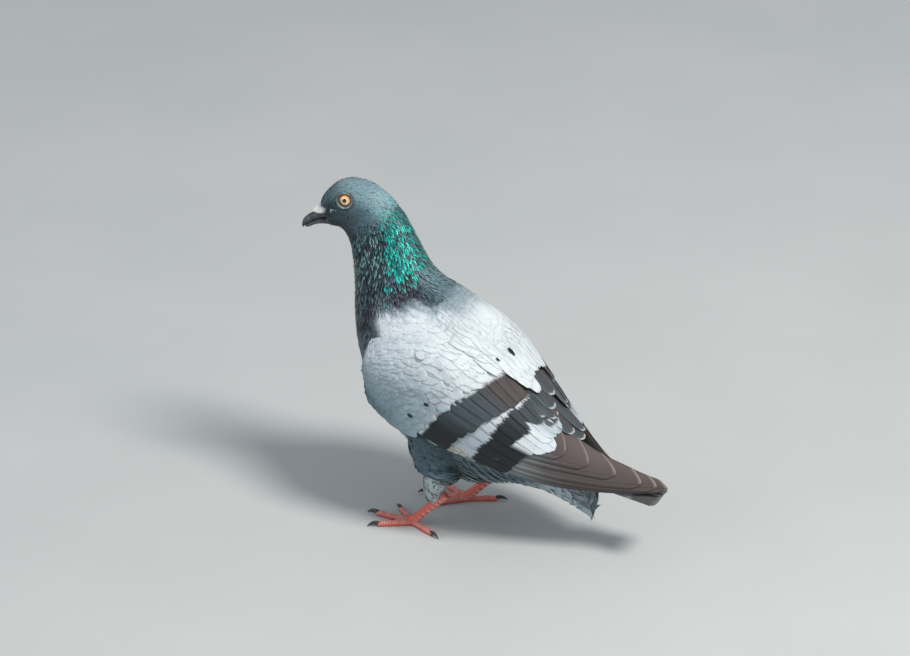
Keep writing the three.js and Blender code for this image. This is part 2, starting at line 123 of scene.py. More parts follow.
# name, heading in degrees from ahead, length, claw, radius, joints
TOES = [
    ("hallux", 153, 19, 6.5, 1.9, 1),
    ("inner_toe", -42, 21, 6.5, 2.0, 2),
    ("middle_toe", -5, 26.5, 7, 2.2, 3),
    ("outer_toe", 30, 22.5, 6.5, 2.1, 4),
]

# ---- Small maths -------------------------------------------------


def smooth(x, a, b):
    k = np.clip((np.asarray(x, float) - a) / (b - a), 0, 1)
    return k * k * (3 - 2 * k)


def lerp(a, b, t):
    return a + (b - a) * t


def unit(v):
    return v / np.maximum(np.linalg.norm(v, axis=-1, keepdims=True), 1e-9)


def along(rows, t):
    """Catmull-Rom through rows of numbers, for t from 0, the first row, to 1, the last."""
    rows = np.asarray(rows, float)
    last = len(rows) - 1
    padded = np.vstack([2 * rows[0] - rows[1], rows, 2 * rows[-1] - rows[-2]])
    place = np.clip(t, 0, 1) * last
    i = np.minimum(np.floor(place).astype(int), last - 1)
    f = (place - i)[..., None]
    a, b, c, d = (padded[i + k] for k in range(4))
    slope_in, slope_out, rise = (c - a) / 2, (d - b) / 2, c - b
    bend = 3 * rise - 2 * slope_in - slope_out
    return b + f * (slope_in + f * (bend + f * (slope_in + slope_out - 2 * rise)))


def colour(code):
    """'#rrggbb' as linear light."""
    s = np.array([int(code[i : i + 2], 16) for i in (1, 3, 5)]) / 255
    return np.where(s <= 0.04045, s / 12.92, ((s + 0.055) / 1.055) ** 2.4)


FLIP = np.array([-1, 1, 1])


def colours(codes):
    return [colour(code) for code in codes.split()]


def mirrored(p, back=0.0):
    """Places on the left carried over to the right, and back mm further back."""
    return p * FLIP + np.array([0, back, 0])


def mix(a, b, t):
    t = np.asarray(t, float)[..., None]
    return a * (1 - t) + b * t


def paint(tone, *coats):
    """A tone with each (colour, share) laid over it in turn."""
    for tint, share in coats:
        tone = mix(tone, tint, share)
    return tone


def plain(tone, like):
    """One colour for every number in like."""
    return tone * np.ones(np.shape(like) + (1,))


WAVES = [(unit(d), f, p) for d, f, p in zip(
    np.random.default_rng(3).normal(size=(14, 3)),
    np.random.default_rng(4).uniform(0.6, 1.6, 14),
    np.random.default_rng(5).uniform(0, 6.28, 14))]


def ramp(low, high, start, end):
    """A size that goes from low to high along a surface."""
    return lambda u, v: lerp(low, high, smooth(u, start, end))


def mottle(p, size):
    """Smooth noise of about -1 to 1 over places p, with blotches of the given size in mm."""
    total = sum(np.sin(p @ d * (6.28 / size) * f + ph) for d, f, ph in WAVES)
    return total / math.sqrt(len(WAVES) / 2) * 0.6


# ---- Surfaces ----------------------------------------------------


def turn_head(p, share):
    a = HEAD_TURN * share
    x, y = p[..., 0], p[..., 1] - NECK_AXIS_Y
    return np.stack([
        x * np.cos(a) - y * np.sin(a), x * np.sin(a) + y * np.cos(a) + NECK_AXIS_Y, p[..., 2]
    ], -1)


def profile(rows, t, angle, off=0.0):
    """A place on a loft of upright oval sections. Angle 0 is the back, positive to the left."""
    r = along(rows, t)
    half, low, full = r[..., 4], 0.0, 1.0
    if rows.shape[1] > 5:
        low, full = r[..., 5], r[..., 6]
    zero = np.zeros_like(half)
    up = np.stack([zero, r[..., 0] - r[..., 2], r[..., 1] - r[..., 3]], -1) / 2
    height = np.linalg.norm(up, axis=-1)
    lift, across = np.cos(angle), np.sin(angle)
    middle = np.stack([zero, (r[..., 0] + r[..., 2]) / 2, (r[..., 1] + r[..., 3]) / 2], -1)
    p = middle + up * (lift * (height + off) / height)[..., None]
    p[..., 0] = np.sign(across) * np.abs(across) ** full * (1 - low * lift) * (half + off)
    return p


def body(u, angle, off=0.0):
    u, angle, off = np.broadcast_arrays(np.asarray(u, float), angle, off)
    u = np.clip(u, 0.0, STATIONS)
    return turn_head(profile(BODY, u / STATIONS, angle, off), 1 - smooth(u, NAPE, LOWER_NECK))


LEFT_ROWS = WING[:, :8].astype(float)
RIGHT_ROWS = LEFT_ROWS.copy()
RIGHT_ROWS[:, 2] -= WING[:, 8]
RIGHT_ROWS[:, [1, 4]] -= RIGHT_SHORTER * smooth(WING[:, 1], 94, 166)[:, None]


def wing_of(rows):
    """The outside of a folded wing, s along it from the bend and v across it from the top edge."""

    def wing(s, v, off=0.0):
        s, v, off = np.broadcast_arrays(np.asarray(s, float), v, off)
        s = np.clip(s, 0, 1)
        r, ahead, behind = (along(rows, np.clip(q, 0, 1)) for q in (s, s + 0.02, s - 0.02))
        edge = lambda q: q[..., :3] * (1 - v[..., None]) + q[..., 3:6] * v[..., None]
        out = unit(np.cross(r[..., 3:6] - r[..., :3], edge(ahead) - edge(behind)))
        swell = np.sin(np.pi * np.clip(v, 0, 1) ** 0.85)
        return edge(r) + out * (r[..., 6] * swell + off)[..., None]

    return wing


# the thigh as the feathers dress it: fuller behind, and down over the front of the ankle
DRESSED = np.array([
    [28, 10, 80, 6], [28, 14, 71, 13], [28, 18, 61, 16], [26, 22.5, 47, 15], [23.8, 17.5, 35.5, 8.8],
    [22.4, 15, 26.5, 6.8], [22, 14, 20.5, 5.4], [21.9, 13.2, 16.5, 4.0],
])


def limb_of(knots, squash=1.0):
    """A round limb along knots of x, y, z, radius: f along it, angle round it."""

    def limb(f, angle, off=0.0):
        f, angle, off = np.broadcast_arrays(np.asarray(f, float), angle, off)
        f = np.clip(f, 0, 1)
        r = along(knots, f)
        way = unit(along(knots, np.clip(f + 0.01, 0, 1))[..., :3]
                   - along(knots, np.clip(f - 0.01, 0, 1))[..., :3])
        side = unit(np.cross(np.array([0, 0, 1.0]), way))
        up = np.cross(way, side)
        radius = (r[..., 3] + off)[..., None]
        return (r[..., :3] + side * np.cos(angle)[..., None] * radius * squash
                + up * np.sin(angle)[..., None] * radius)

    return limb


thigh = limb_of(DRESSED, 0.8)
left_wing, right_wing = wing_of(LEFT_ROWS), wing_of(RIGHT_ROWS)


def shawl(s, w, off=0.0):
    """The cloak of shoulder feathers over the back, from the left wing's top edge at w = 1, over the
    middle at 0, to the right wing's at -1, at the wings' own s."""
    s, w, off = np.broadcast_arrays(np.asarray(s, float), w, off)
    e = 0.1 + 0.03 * smooth(s, 0.3, 0.5)
    ends = [left_wing(s, e, 0.4), right_wing(s, e, 0.4) * FLIP]
    rises = [unit(left_wing(s, e - 0.05) - left_wing(s, e + 0.05)),
             unit(right_wing(s, e - 0.05) - right_wing(s, e + 0.05)) * FLIP]
    tops = (left_wing(s, 0 * s) + right_wing(s, 0 * s) * FLIP) / 2
    spine = along(BODY[:, :2], np.linspace(0, 1, 121))
    back_z = np.interp(tops[..., 1], spine[:, 0], spine[:, 1])
    middle = tops.copy()
    middle[..., 0] = 0
    middle[..., 2] = lerp(back_z + 0.6, np.maximum(back_z + 0.6, tops[..., 2] + 4.0), smooth(s, 0.36, 0.5))
    right_side = (w < 0)[..., None]
    end, rise = np.where(right_side, ends[1], ends[0]), np.where(right_side, rises[1], rises[0])
    t = np.abs(w)[..., None]
    reach = np.abs(end[..., :1])
    one = middle + np.concatenate([0.6 * end[..., :1], 0 * end[..., 1:]], -1)
    two = end + rise * reach * 0.35
    p = (1 - t) ** 3 * middle + 3 * (1 - t) ** 2 * t * one + 3 * (1 - t) * t * t * two + t**3 * end
    if np.any(off):
        p = p + frames(shawl, s, w)[2] * off[..., None]
    return p


def frames(surface, u, v, sign=1.0):
    e = 1e-3
    pu = (surface(u + e, v) - surface(u - e, v)) / (2 * e)
    pv = (surface(u, v + e) - surface(u, v - e)) / (2 * e)
    return pu, pv, unit(np.cross(pv, pu)) * sign


# ---- Meshes ------------------------------------------------------


def grid_faces(rows, columns, wrap=False):
    """Quads of a grid of rows x columns points, columns closing on themselves if wrap."""
    i = np.arange(rows - 1)[:, None]
    j = np.arange(columns if wrap else columns - 1)[None]
    k = (j + 1) % columns
    quads = np.stack(np.broadcast_arrays(
        i * columns + j, i * columns + k, (i + 1) * columns + k, (i + 1) * columns + j), -1)
    return quads.reshape(-1, 4)


def link_new(name, data):
    obj = bpy.data.objects.new(name, data)
    bpy.context.scene.collection.objects.link(obj)
    return obj


def store_tones(mesh, tones):
    layer = mesh.color_attributes.new("Plumage", "FLOAT_COLOR", "POINT")
    layer.data.foreach_set("color", np.hstack([tones, np.ones((len(tones), 1))]).astype(np.float32).ravel())


def mesh_object(name, verts, quads, tones=None, maps=()):
    """A mesh from numpy arrays in mm of the drawing frame, with a Plumage colour on its vertices."""
    mesh = bpy.data.meshes.new(name)
    verts = np.asarray((verts + SHIFT) * MM, np.float32)
    quads = np.asarray(quads, np.int32)
    mesh.vertices.add(len(verts))
    mesh.vertices.foreach_set("co", verts.ravel())
    mesh.loops.add(quads.size)
    mesh.loops.foreach_set("vertex_index", quads.ravel())
    mesh.polygons.add(len(quads))
    mesh.polygons.foreach_set("loop_start", np.arange(0, quads.size, quads.shape[1], dtype=np.int32))
    mesh.update(calc_edges=True)
    if tones is not None:
        store_tones(mesh, tones)
    for map_name, places in maps:
        layer = mesh.uv_layers.new(name=map_name)
        layer.data.foreach_set("uv", places[quads.ravel()].astype(np.float32).ravel())
    mesh.polygons.foreach_set("use_smooth", np.ones(len(quads), bool))
    mesh.validate()
    return link_new(name, mesh)


def tree_of(points):
    tree = KDTree(len(points))
    for i, p in enumerate(points):
        tree.insert(p, i)
    tree.balance()
    return tree


def full_turn(count):
    return np.linspace(0, 2 * np.pi, count, endpoint=False)


def shrunk(ring, share):
    """A ring of points drawn in towards its middle, as one more row."""
    middle = ring.mean(0)
    return (middle + (ring - middle) * share)[None]


def tube(surface, f, around, grow=0.0):
    """Points and quads of a closed tube over a surface, its ends closed by small rings."""
    rings = surface(f[:, None], full_turn(around)[None], grow)
    first, last = rings[0].mean(0), rings[-1].mean(0)
    rings = np.concatenate([shrunk(rings[0], 0.02), rings, shrunk(rings[-1], 0.02)])
    n = len(rings)
    points = np.vstack([rings.reshape(-1, 3), first[None], last[None]])
    quads = grid_faces(n, around, wrap=True)
    j = np.arange(0, around, 2)
    ends = [[n * around, (a + 2) % around, (a + 1) % around, a] for a in j]
    base = (n - 1) * around
    ends += [[n * around + 1, base + a, base + (a + 1) % around, base + (a + 2) % around] for a in j]
    return points, np.vstack([quads, ends])


class Sheaf:
    """Feathers gathered into one mesh."""

    def __init__(self, name):
        self.name, self.parts, self.count = name, [], 0

    def add(self, f, tones, bake, thick=0.0, mirror=False, back=0.0):
        """f: feathers from vanes or blades. tones, bake: feathers x rows x columns x 3 and 2 numbers."""
        points, barb, out = f.points + np.array([0, back, 0]), f.barb, f.out
        n, r, c = points.shape[:3]
        if mirror:
            points, out = points * FLIP, out * FLIP
        quads = grid_faces(r, c)
        size = r * c
        if thick:
            under = points - out[:, :, None] * thick
            points = np.concatenate([points.reshape(n, size, 3), under.reshape(n, size, 3)], 1)
            tones = np.tile(tones.reshape(n, size, 3), (1, 2, 1))
            barb, bake = (np.tile(m.reshape(n, size, 2), (1, 2, 1)) for m in (barb, bake))
            left, right = np.arange(r) * c, np.arange(r) * c + c - 1
            first, last = np.arange(c), np.arange(c) + (r - 1) * c
            walls = []
            for line, flip in ((left, False), (right, True), (first, True), (last, False)):
                a, b = line[:-1], line[1:]
                wall = np.stack([a, b, b + size, a + size], 1)
                walls.append(wall[:, ::-1] if flip else wall)
            quads = np.vstack([quads, quads[:, ::-1] + size, *walls])
            size *= 2
        if mirror:
            quads = quads[:, ::-1]
        step = np.arange(n)[:, None, None] * size + self.count
        self.parts.append((points.reshape(-1, 3), (quads[None] + step).reshape(-1, 4),
                           tones.reshape(-1, 3), barb.reshape(-1, 2), bake.reshape(-1, 2)))
        self.count += n * size

    def make(self, look, slot, *replaced):
        points, quads, tones, barb, bake = (np.concatenate([p[i] for p in self.parts]) for i in range(5))
        maps = [("OFBake", bake), ("Barb", barb)]
        obj = mesh_object(self.name, points, quads, np.clip(tones, 0, 1), maps)
        print(self.name, 2 * len(quads), "triangles")
        return dress(obj, look, slot, *replaced)


def dress(obj, look, slot, *replaced):
    """A piece's material and body, and the solids it stands for; slot is not used."""
    obj.data.materials.append(look)
    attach(obj, "root")
    if replaced:
        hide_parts(*replaced)
    return obj


def rolled(name, p, look, slot, solid, tone=None, flip=False):
    """A piece from a grid of points that closes on itself across."""
    quads = grid_faces(*p.shape[:2], wrap=True)
    tone = None if tone is None else tone.reshape(-1, 3)
    dress(mesh_object(name, p.reshape(-1, 3), quads[:, ::-1] if flip else quads, tone), look, slot, solid)


PATCH = 0.003  # a tuft's size on the OFBake map
STRIPS = 8  # rows of large feathers on a flight piece's OFBake map
BARB_SPAN = 500  # how far apart two feathers' barbs can start, in mm


def vanes(surface, u, v, length, half, turn=0.0, base=-1.5, rise=1.6, cup=0.0, roll=0.0,
          tip=0.3, stem=0.6, taper=0.85, ragged=0.0, rows=5, columns=6, sign=1.0, to=None):
    """Feathers on a surface from roots (u, v), lying along its u. Millimetres, one number or one per
    feather: length, half (half width), base (height of the root over the surface), rise (how much
    higher the tip is), cup (1/mm drop to the edges), roll. tip rounds the end,
    stem and taper narrow root and tip, ragged splits the end. Tips given as to set the length."""
    n = len(u)
    full = lambda q: np.broadcast_to(np.asarray(q, float), (n,))[:, None]
    length, half, turn, base, rise, cup, roll = map(full, (length, half, turn, base, rise, cup, roll))
    a = np.linspace(0, 1, rows + 1) ** 0.85
    b = np.linspace(-1, 1, columns + 1)
    pu, pv, _ = frames(surface, u, v, sign)
    du = length[:, 0] * np.cos(turn[:, 0]) / np.maximum(np.linalg.norm(pu, axis=-1), 1e-6)
    dv = length[:, 0] * np.sin(turn[:, 0]) / np.maximum(np.linalg.norm(pv, axis=-1), 1e-6)
    if to is not None:
        du, dv = to[0] - u, to[1] - v
    uu, vv = u[:, None] + du[:, None] * a, v[:, None] + dv[:, None] * a
    p = surface(uu, vv)
    if to is not None:
        length = np.linalg.norm(np.diff(p, axis=1), axis=-1).sum(1)[:, None]
    pu, pv, out = frames(surface, uu, vv, sign)
    way = unit(pu * du[:, None, None] + pv * dv[:, None, None])
    side = unit(np.cross(out, way))
    # Past the end of a surface its last point repeats, so the feather goes on straight.
    gone = np.linalg.norm(np.diff(p, axis=1), axis=-1)
    want = length * np.diff(a)[None]
    extra = np.cumsum(np.maximum(want - gone, 0) * (gone < 0.5 * want), axis=1)
    p[:, 1:] += way[:, 1:] * extra[..., None]
    end = tip * (1 - np.sqrt(np.clip(1 - b**2, 0.0, 1)))
    end = np.broadcast_to(end, (n, columns + 1)) + ragged * rng.uniform(0, 1, (n, columns + 1))
    aa = a[None, :, None] * (1 - end[:, None] * a[None, :, None] ** 1.5)
    wide = (stem + (1 - stem) * smooth(a, 0, 0.5)) * (1 - (1 - taper) * smooth(a, 0.5, 1))
    x = half[:, None] * wide[None, :, None] * b[None, None]
    h = base[:, None] + rise[:, None] * aa - cup[:, None] * x**2 + roll[:, None] * x
    points = (p[:, :, None] + way[:, :, None] * (length[:, None] * (aa - a[None, :, None]))[..., None]
              + side[:, :, None] * x[..., None] + out[:, :, None] * h[..., None])
    run = length[:, None] * aa
    start = rng.uniform(0, BARB_SPAN, (n, 1, 1))
    barb = np.stack([run - 0.8 * np.abs(x) + start, x + 0 * run], -1)
    # the surface's own coordinates of each point, off the shaft too
    dot = lambda p, q: np.sum(p * q, -1)
    uu2, uv, vv2 = dot(pu, pu), dot(pu, pv), dot(pv, pv)
    det = np.maximum(uu2 * vv2 - uv * uv, 1e-9)
    slip = length[:, None] * (aa - a[None, :, None])
    moved = []
    for own, other, cross_to in ((pu, pv, vv2), (pv, pu, uu2)):
        per_side = (dot(side, own) * cross_to - dot(side, other) * uv) / det
        per_way = (dot(way, own) * cross_to - dot(way, other) * uv) / det
        moved.append(per_side[:, :, None] * x + per_way[:, :, None] * slip)
    return SimpleNamespace(
        points=points, out=out, barb=barb, along=aa, across=np.broadcast_to(b, aa.shape), x=x,
        u=uu[:, :, None] + moved[0], v=vv[:, :, None] + moved[1])


def bake_places(f, root_x, root_y):
    """Each feather's small patch at its root's place on the unwrapped surface, inside a margin."""
    patch = np.stack([f.across * 0.5, f.along - 0.5], -1) * PATCH
    root = np.stack([root_x, root_y], -1)[:, None, None]
    return root * 0.98 + 0.01 + patch


def scatter(surface, u_range, v_range, gap, seed, keep=None):
    """Roots spread evenly over a surface, gap mm apart (gap may be a function of u and v)."""
    r = np.random.default_rng(seed)
    gap_of = gap if callable(gap) else (lambda u, v: np.full(np.shape(u), float(gap)))

    def density(u, v):
        pu, pv, _ = frames(surface, u, v)
        return np.linalg.norm(np.cross(pu, pv), axis=-1) / gap_of(u, v) ** 2

    sample = density(*np.meshgrid(np.linspace(*u_range, 60), np.linspace(*v_range, 60), indexing="ij"))
    area, top = sample.mean() * (u_range[1] - u_range[0]) * (v_range[1] - v_range[0]), sample.max()
    tries = int(area * 5 * top / sample.mean())
    u, v = r.uniform(*u_range, tries), r.uniform(*v_range, tries)
    chosen = r.uniform(size=tries) < density(u, v) / top
    if keep is not None:
        chosen &= keep(u, v)
    u, v = u[chosen], v[chosen]
    gaps, places = gap_of(u, v), surface(u, v)
    cell = gaps.max()
    keys = np.floor(places / cell).astype(int).tolist()
    points, spans = places.tolist(), (gaps * gaps).tolist()
    cells, kept = {}, []
    near = [(i, j, k) for i in (-1, 0, 1) for j in (-1, 0, 1) for k in (-1, 0, 1)]
    for n, (key, p, span) in enumerate(zip(keys, points, spans)):
        close = (q for i, j, k in near for q in cells.get((key[0] + i, key[1] + j, key[2] + k), ()))
        if all((p[0] - q[0]) ** 2 + (p[1] - q[1]) ** 2 + (p[2] - q[2]) ** 2 >= span for q in close):
            cells.setdefault(tuple(key), []).append(p)
            kept.append(n)
    return u[kept], v[kept]


# ---- Materials ---------------------------------------------------


def material(name):
    m = bpy.data.materials.new(name)
    m.use_nodes = True
    tree = m.node_tree
    return m, tree, tree.nodes["Principled BSDF"]


def fill(tree, n, values):
    """Links or sets the inputs of a node."""
    for k, value in values.items():
        if isinstance(value, bpy.types.NodeSocket):
            tree.links.new(value, n.inputs[k])
        else:
            n.inputs[k].default_value = value
    return n


def node(tree, kind, values=None, **settings):
    n = tree.nodes.new(kind)
    for k, value in settings.items():
        setattr(n, k, value)
    return fill(tree, n, values or {})


def maths(tree, operation, a, b=0.0, c=0.0):
    return node(tree, "ShaderNodeMath", {0: a, 1: b, 2: c}, operation=operation).outputs[0]


def scaled(tree, tone, factor):
    """A colour times a number."""
    return node(tree, "ShaderNodeVectorMath", {0: tone, 3: factor}, operation="SCALE").outputs[0]


def noise(tree, vector, scale, detail, **settings):
    values = {"Vector": vector, "Scale": scale, "Detail": detail}
    return node(tree, "ShaderNodeTexNoise", values, **settings).outputs[0]


def object_place(tree):
    return node(tree, "ShaderNodeTexCoord").outputs["Object"]


def stored_tone(tree):
    return node(tree, "ShaderNodeAttribute", attribute_name="Plumage", attribute_type="GEOMETRY").outputs[0]


def surface_of(tree, fine, roughness, relief, distance):
    """Roughness and relief that follow one fine noise."""
    bump = node(tree, "ShaderNodeBump", {"Height": fine, "Strength": relief, "Distance": distance})
    return {"Normal": bump.outputs[0], "Roughness": maths(tree, "MULTIPLY_ADD", fine, 0.2, roughness - 0.1)}


def plumage(name, roughness=0.72, sheen=0.25, streak=0.16, blotch=0.1, relief=0.5, metal=0.0, shaft=0.0):
    """Feather: the stored marking, barbs as fine slanting streaks, a soft blotchiness, a matt sheen."""
    m, tree, bsdf = material(name)
    barb = node(tree, "ShaderNodeUVMap", uv_map="Barb").outputs[0]
    lines = node(tree, "ShaderNodeMapping", {"Vector": barb, "Scale": (2.6, 0.12, 1.0)}).outputs[0]
    fine = noise(tree, lines, 1.0, 2.0, noise_dimensions="2D")
    soft = noise(tree, object_place(tree), 160.0, 3.0)
    level = maths(tree, "MULTIPLY_ADD", fine, 2 * streak, 1 - streak)
    level = maths(tree, "MULTIPLY", level, maths(tree, "MULTIPLY_ADD", soft, 2 * blotch, 1 - blotch))
    if shaft:
        x = maths(tree, "ABSOLUTE", node(tree, "ShaderNodeSeparateXYZ", {0: barb}).outputs[1])
        line = node(tree, "ShaderNodeMapRange", {0: x, 1: 0.15, 2: 0.45, 3: 1 + shaft, 4: 1.0})
        level = maths(tree, "MULTIPLY", level, line.outputs[0])
    fill(tree, bsdf, {
        "Base Color": scaled(tree, stored_tone(tree), level), "Sheen Weight": sheen, "Sheen Roughness": 0.45,
        "Metallic": metal, "Specular IOR Level": 0.3, **surface_of(tree, fine, roughness, relief, 0.00012)})
    return m


def mottled(name, low, high, scale, roughness=0.5, relief=0.3, coat=0.0, subsurface=0.0):
    """Horn or skin: a colour that wanders between two, or the stored one, with a fine relief."""
    m, tree, bsdf = material(name)
    place = object_place(tree)
    wander = noise(tree, place, scale, 4.0)
    if low is None:
        base = scaled(tree, stored_tone(tree), maths(tree, "MULTIPLY_ADD", wander, 0.5, 0.75))
    else:
        ramp = node(tree, "ShaderNodeValToRGB", {0: wander})
        for stop, position, code in zip(ramp.color_ramp.elements, (0.35, 0.65), (low, high)):
            stop.position, stop.color = position, (*colour(code), 1)
        base = ramp.outputs[0]
    fill(tree, bsdf, {"Base Color": base, "Coat Weight": coat, "Specular IOR Level": 0.5,
                      **surface_of(tree, noise(tree, place, scale * 3, 3.0), roughness, relief, 0.0002)})
    if subsurface:
        fill(tree, bsdf, {"Subsurface Weight": subsurface, "Subsurface Scale": 0.5,
                          "Subsurface Radius": (0.002, 0.001, 0.0006)})
    return m


# ---- Camera, floor and light -------------------------------------


AZIMUTH, ELEVATION, DISTANCE = math.radians(115), math.radians(25), 2.6
TARGET = Vector((0, -0.02524, 0.1306))
level_part = math.cos(ELEVATION)
back = Vector((math.sin(AZIMUTH) * level_part, -math.cos(AZIMUTH) * level_part, math.sin(ELEVATION)))
lens = bpy.data.cameras.new("camera")
lens.lens, lens.sensor_width, lens.clip_end = 166.63, 36.0, 50.0
camera = link_new("camera", lens)
camera.location = TARGET + back * DISTANCE
camera.rotation_euler = back.to_track_quat("Z", "Y").to_euler()
bpy.context.scene.camera = camera

FLOOR_HALF = 6.0
floor_mesh = bpy.data.meshes.new("floor")
corners = [(x * FLOOR_HALF, y * FLOOR_HALF, 0) for x, y in ((-1, -1), (1, -1), (1, 1), (-1, 1))]
floor_mesh.from_pydata(corners, [], [(0, 1, 2, 3)])
floor = link_new("floor", floor_mesh)
plaster = mottled("floor_plaster", "#c4c7c6", "#c9cbca", 6.0, roughness=0.85, relief=0.05)
floor.data.materials.append(plaster)

world = bpy.data.worlds.new("studio")
world.use_nodes = True
fill(world.node_tree, world.node_tree.nodes["Background"], {0: (0.86, 0.93, 1.0, 1), 1: 0.43})
bpy.context.scene.world = world


def area_light(name, at, size, power, tint):
    data = bpy.data.lights.new(name, "AREA")
    data.shape, data.size, data.energy, data.color = "DISK", size, power, tint
    lamp = link_new(name, data)
    lamp.location = at
    lamp.rotation_euler = (Vector(at) - Vector((0, 0, 0.1))).to_track_quat("Z", "Y").to_euler()


area_light("key", (0.45, 1.3, 2.0), 0.7, 47, (1, 0.97, 0.93))
area_light("fill", (1.9, -1.6, 1.0), 1.6, 11, (0.93, 0.97, 1))
bpy.context.scene.view_settings.view_transform = "Standard"

# ---- Markings, and painted shade on the wing ---------------------

SLATE, CROWN, CROWN_BACK, FOREHEAD = colours("#4e6670 #819ea7 #8fabb3 #67929d")
LORE, CHEEK, THROAT = colours("#10181b #3d4f57 #27353b")
NECK_DARK, NECK_MID, HINDNECK, FRONT_FLECK = colours("#1f2b31 #5f7580 #7f9fa7 #8cc0be")
TEAL, TEAL_BRIGHT, TEAL_PALE, PURPLE = colours("#1c8782 #33c6ba #6fbcbb #46404c")
PALE, PALE_BLUE, PALE_GREY = colours("#dde4e8 #bfcbd2 #9aaab3")
BREAST, BELLY, UNDERTAIL = colours("#566c76 #4f666f #a6b7be")
# LOW_COVERT: blue slate, painted shade on the wing's lower front, and the margin at the bend.
LOW_COVERT, RUMP, CREAM = colours("#76929d #b9c4ca #a3a89e")
BAR, BAR_BROWN, BAR_GREY = colours("#1d2326 #4a4341 #48535a")
PRIMARY, PRIMARY_LIGHT, FRINGE = colours("#584e4d #899091 #a3968e")
TAIL_GREY, TAIL_DARK = colours("#7c8990 #4f4f4e")
TUFT, TUFT_DARK = colours("#dbe7ea #7d8f97")
IRIS_IN, IRIS_OUT, IRIS_RED, PUPIL_BLACK, IRIS_RIM = colours("#fbd598 #dd8c48 #8a3f1c #120d0b #15110f")
LID_DARK, LID_PALE, LID_GREY = colours("#1e1d1e #a3aba7 #4f5856")
LEG_RED, LEG_PALE, LEG_DARK = colours("#d4675a #efc6bd #963c33")


def hill(x, at, wide):
    return np.exp(-(((x - at) / wide) ** 2))


def near(u, a, at_u, at_a, wide_u, wide_a):
    return np.exp(-(((u - at_u) / wide_u) ** 2) - ((a - at_a) / wide_a) ** 2)


def degrees_off_back(angle):
    return np.degrees(np.abs((angle + np.pi) % (2 * np.pi) - np.pi))


def body_tone(u, angle, chance, places):
    """The colour of head, neck and trunk at station u and angle. chance is a number per feather."""
    a = degrees_off_back(angle)
    luck = (chance * 7.31) % 1.0  # a second number per feather
    wobble, flecks = mottle(places, 14.0), mottle(places, 6.0)
    # head
    tone = paint(
        FOREHEAD, (CROWN, smooth(u, 1.0, 2.6) * (1 - smooth(a, 50, 88))), (SLATE, smooth(a, 45, 80) * 0.85),
        (CROWN_BACK, smooth(u, 3.2, 4.1) * (1 - smooth(a, 25, 62))), (CHEEK, near(u, a, 2.9, 108, 1.0, 26)),
        (THROAT, smooth(a, 106, 134)), (LORE, np.clip(1.3 * near(u, a, 0.9, 84, 0.8, 34), 0, 1)),
        (PALE_BLUE, 0.9 * (near(u, a, 1.55, 89, 0.45, 5.5) > 0.5) * (luck > 0.25)))
    # neck
    neck = paint(
        NECK_DARK, (NECK_MID, luck**1.4),
        (FRONT_FLECK, 0.8 * smooth(a, 62, 85) * (1 - 0.85 * smooth(u, 5.7, 6.7)) * (luck > 0.74)),
        (HINDNECK, (0.35 + 0.65 * smooth(u, 6.3, 7.3)) * (1 - smooth(a, 14, 40))))
    late = 0.35 * smooth(a, 45, 75) + 0.3 * (1 - smooth(a, 25, 50))
    low_side = a + 9 * wobble + 4 * smooth(u, 5.5, 6.8)
    shine = (smooth(u + 0.2 * wobble - late, 3.8, 5.0) * (1 - smooth(u + 0.15 * wobble, 6.5, 7.1))
             * smooth(a + 4 * wobble, -4, 16) * (1 - smooth(low_side, 58, 84)))
    wet = smooth(0.55 * shine + 0.16 * flecks + 0.8 * (chance - 0.5), 0.3, 0.42) * smooth(shine, 0.02, 0.15)
    sheen = mix(TEAL, TEAL_BRIGHT, smooth(luck, 0.2, 0.8) * smooth(u, 4.1, 4.9))
    sheen = mix(1.25 * TEAL_PALE, sheen, 0.3 + 0.7 * smooth(u, 4.3, 5.1))
    neck = paint(
        neck, (sheen, wet * smooth(u, 4.3, 5.0)),
        (PURPLE, 0.75 * smooth(u, 6.75, 7.2) * smooth(a, 32, 55) * (1 - smooth(a, 100, 125))))
    soft_part = mix(tone, TEAL_PALE, np.clip(1.6 * shine, 0, 1))
    tone = mix(soft_part, neck, smooth(u + 0.3 * smooth(a, 70, 115) + 0.45 * (chance - 0.5), 4.15, 5.0))
    # mantle, back and rump
    edge = 8.35 - 0.91 * smooth(a, 14, 58) - 0.25 * smooth(a, 66, 84) + 0.1 * flecks + 0.14 * (chance - 0.5)
    sides = smooth(a, 25, 60)
    border = smooth(u, edge - 0.35, edge - 0.1) * (1 - smooth(u, edge + 0.1, edge + 0.35))
    mantle = paint(
        PALE_GREY, (PALE_BLUE, smooth(u, edge + 0.05, edge + 0.7 - 0.45 * sides)),
        (PALE, smooth(u, edge + 0.3 - 0.2 * sides, edge + 1.2 - 0.75 * sides)),
        (NECK_MID, 0.35 * border * (luck > 0.7)), (RUMP, smooth(u, 11.2, 12.2)),
        (TAIL_GREY, smooth(u, 13.2, 14.0)))
    # breast and belly
    under = paint(
        mix(NECK_DARK, NECK_MID, 0.3 + 0.2 * luck), (BREAST, smooth(u, 7.3, 8.8)),
        (BELLY, smooth(u, 9.5, 10.5)), (UNDERTAIL, smooth(u, 12.0, 13.2)))
    tone = paint(tone, (mantle, smooth(u, edge - 0.35, edge + 0.15) * (1 - smooth(a, 92, 104))),
                 (under, smooth(u, 7.2, 7.8) * smooth(a, 92, 104)))
    return tone


def between(x, front, end, sharp=0.0025):
    return smooth(x, front - sharp, front + sharp) * (1 - smooth(x, end - sharp, end + sharp))


def bar_one_front(v):
    return 0.525 - 0.21 * v


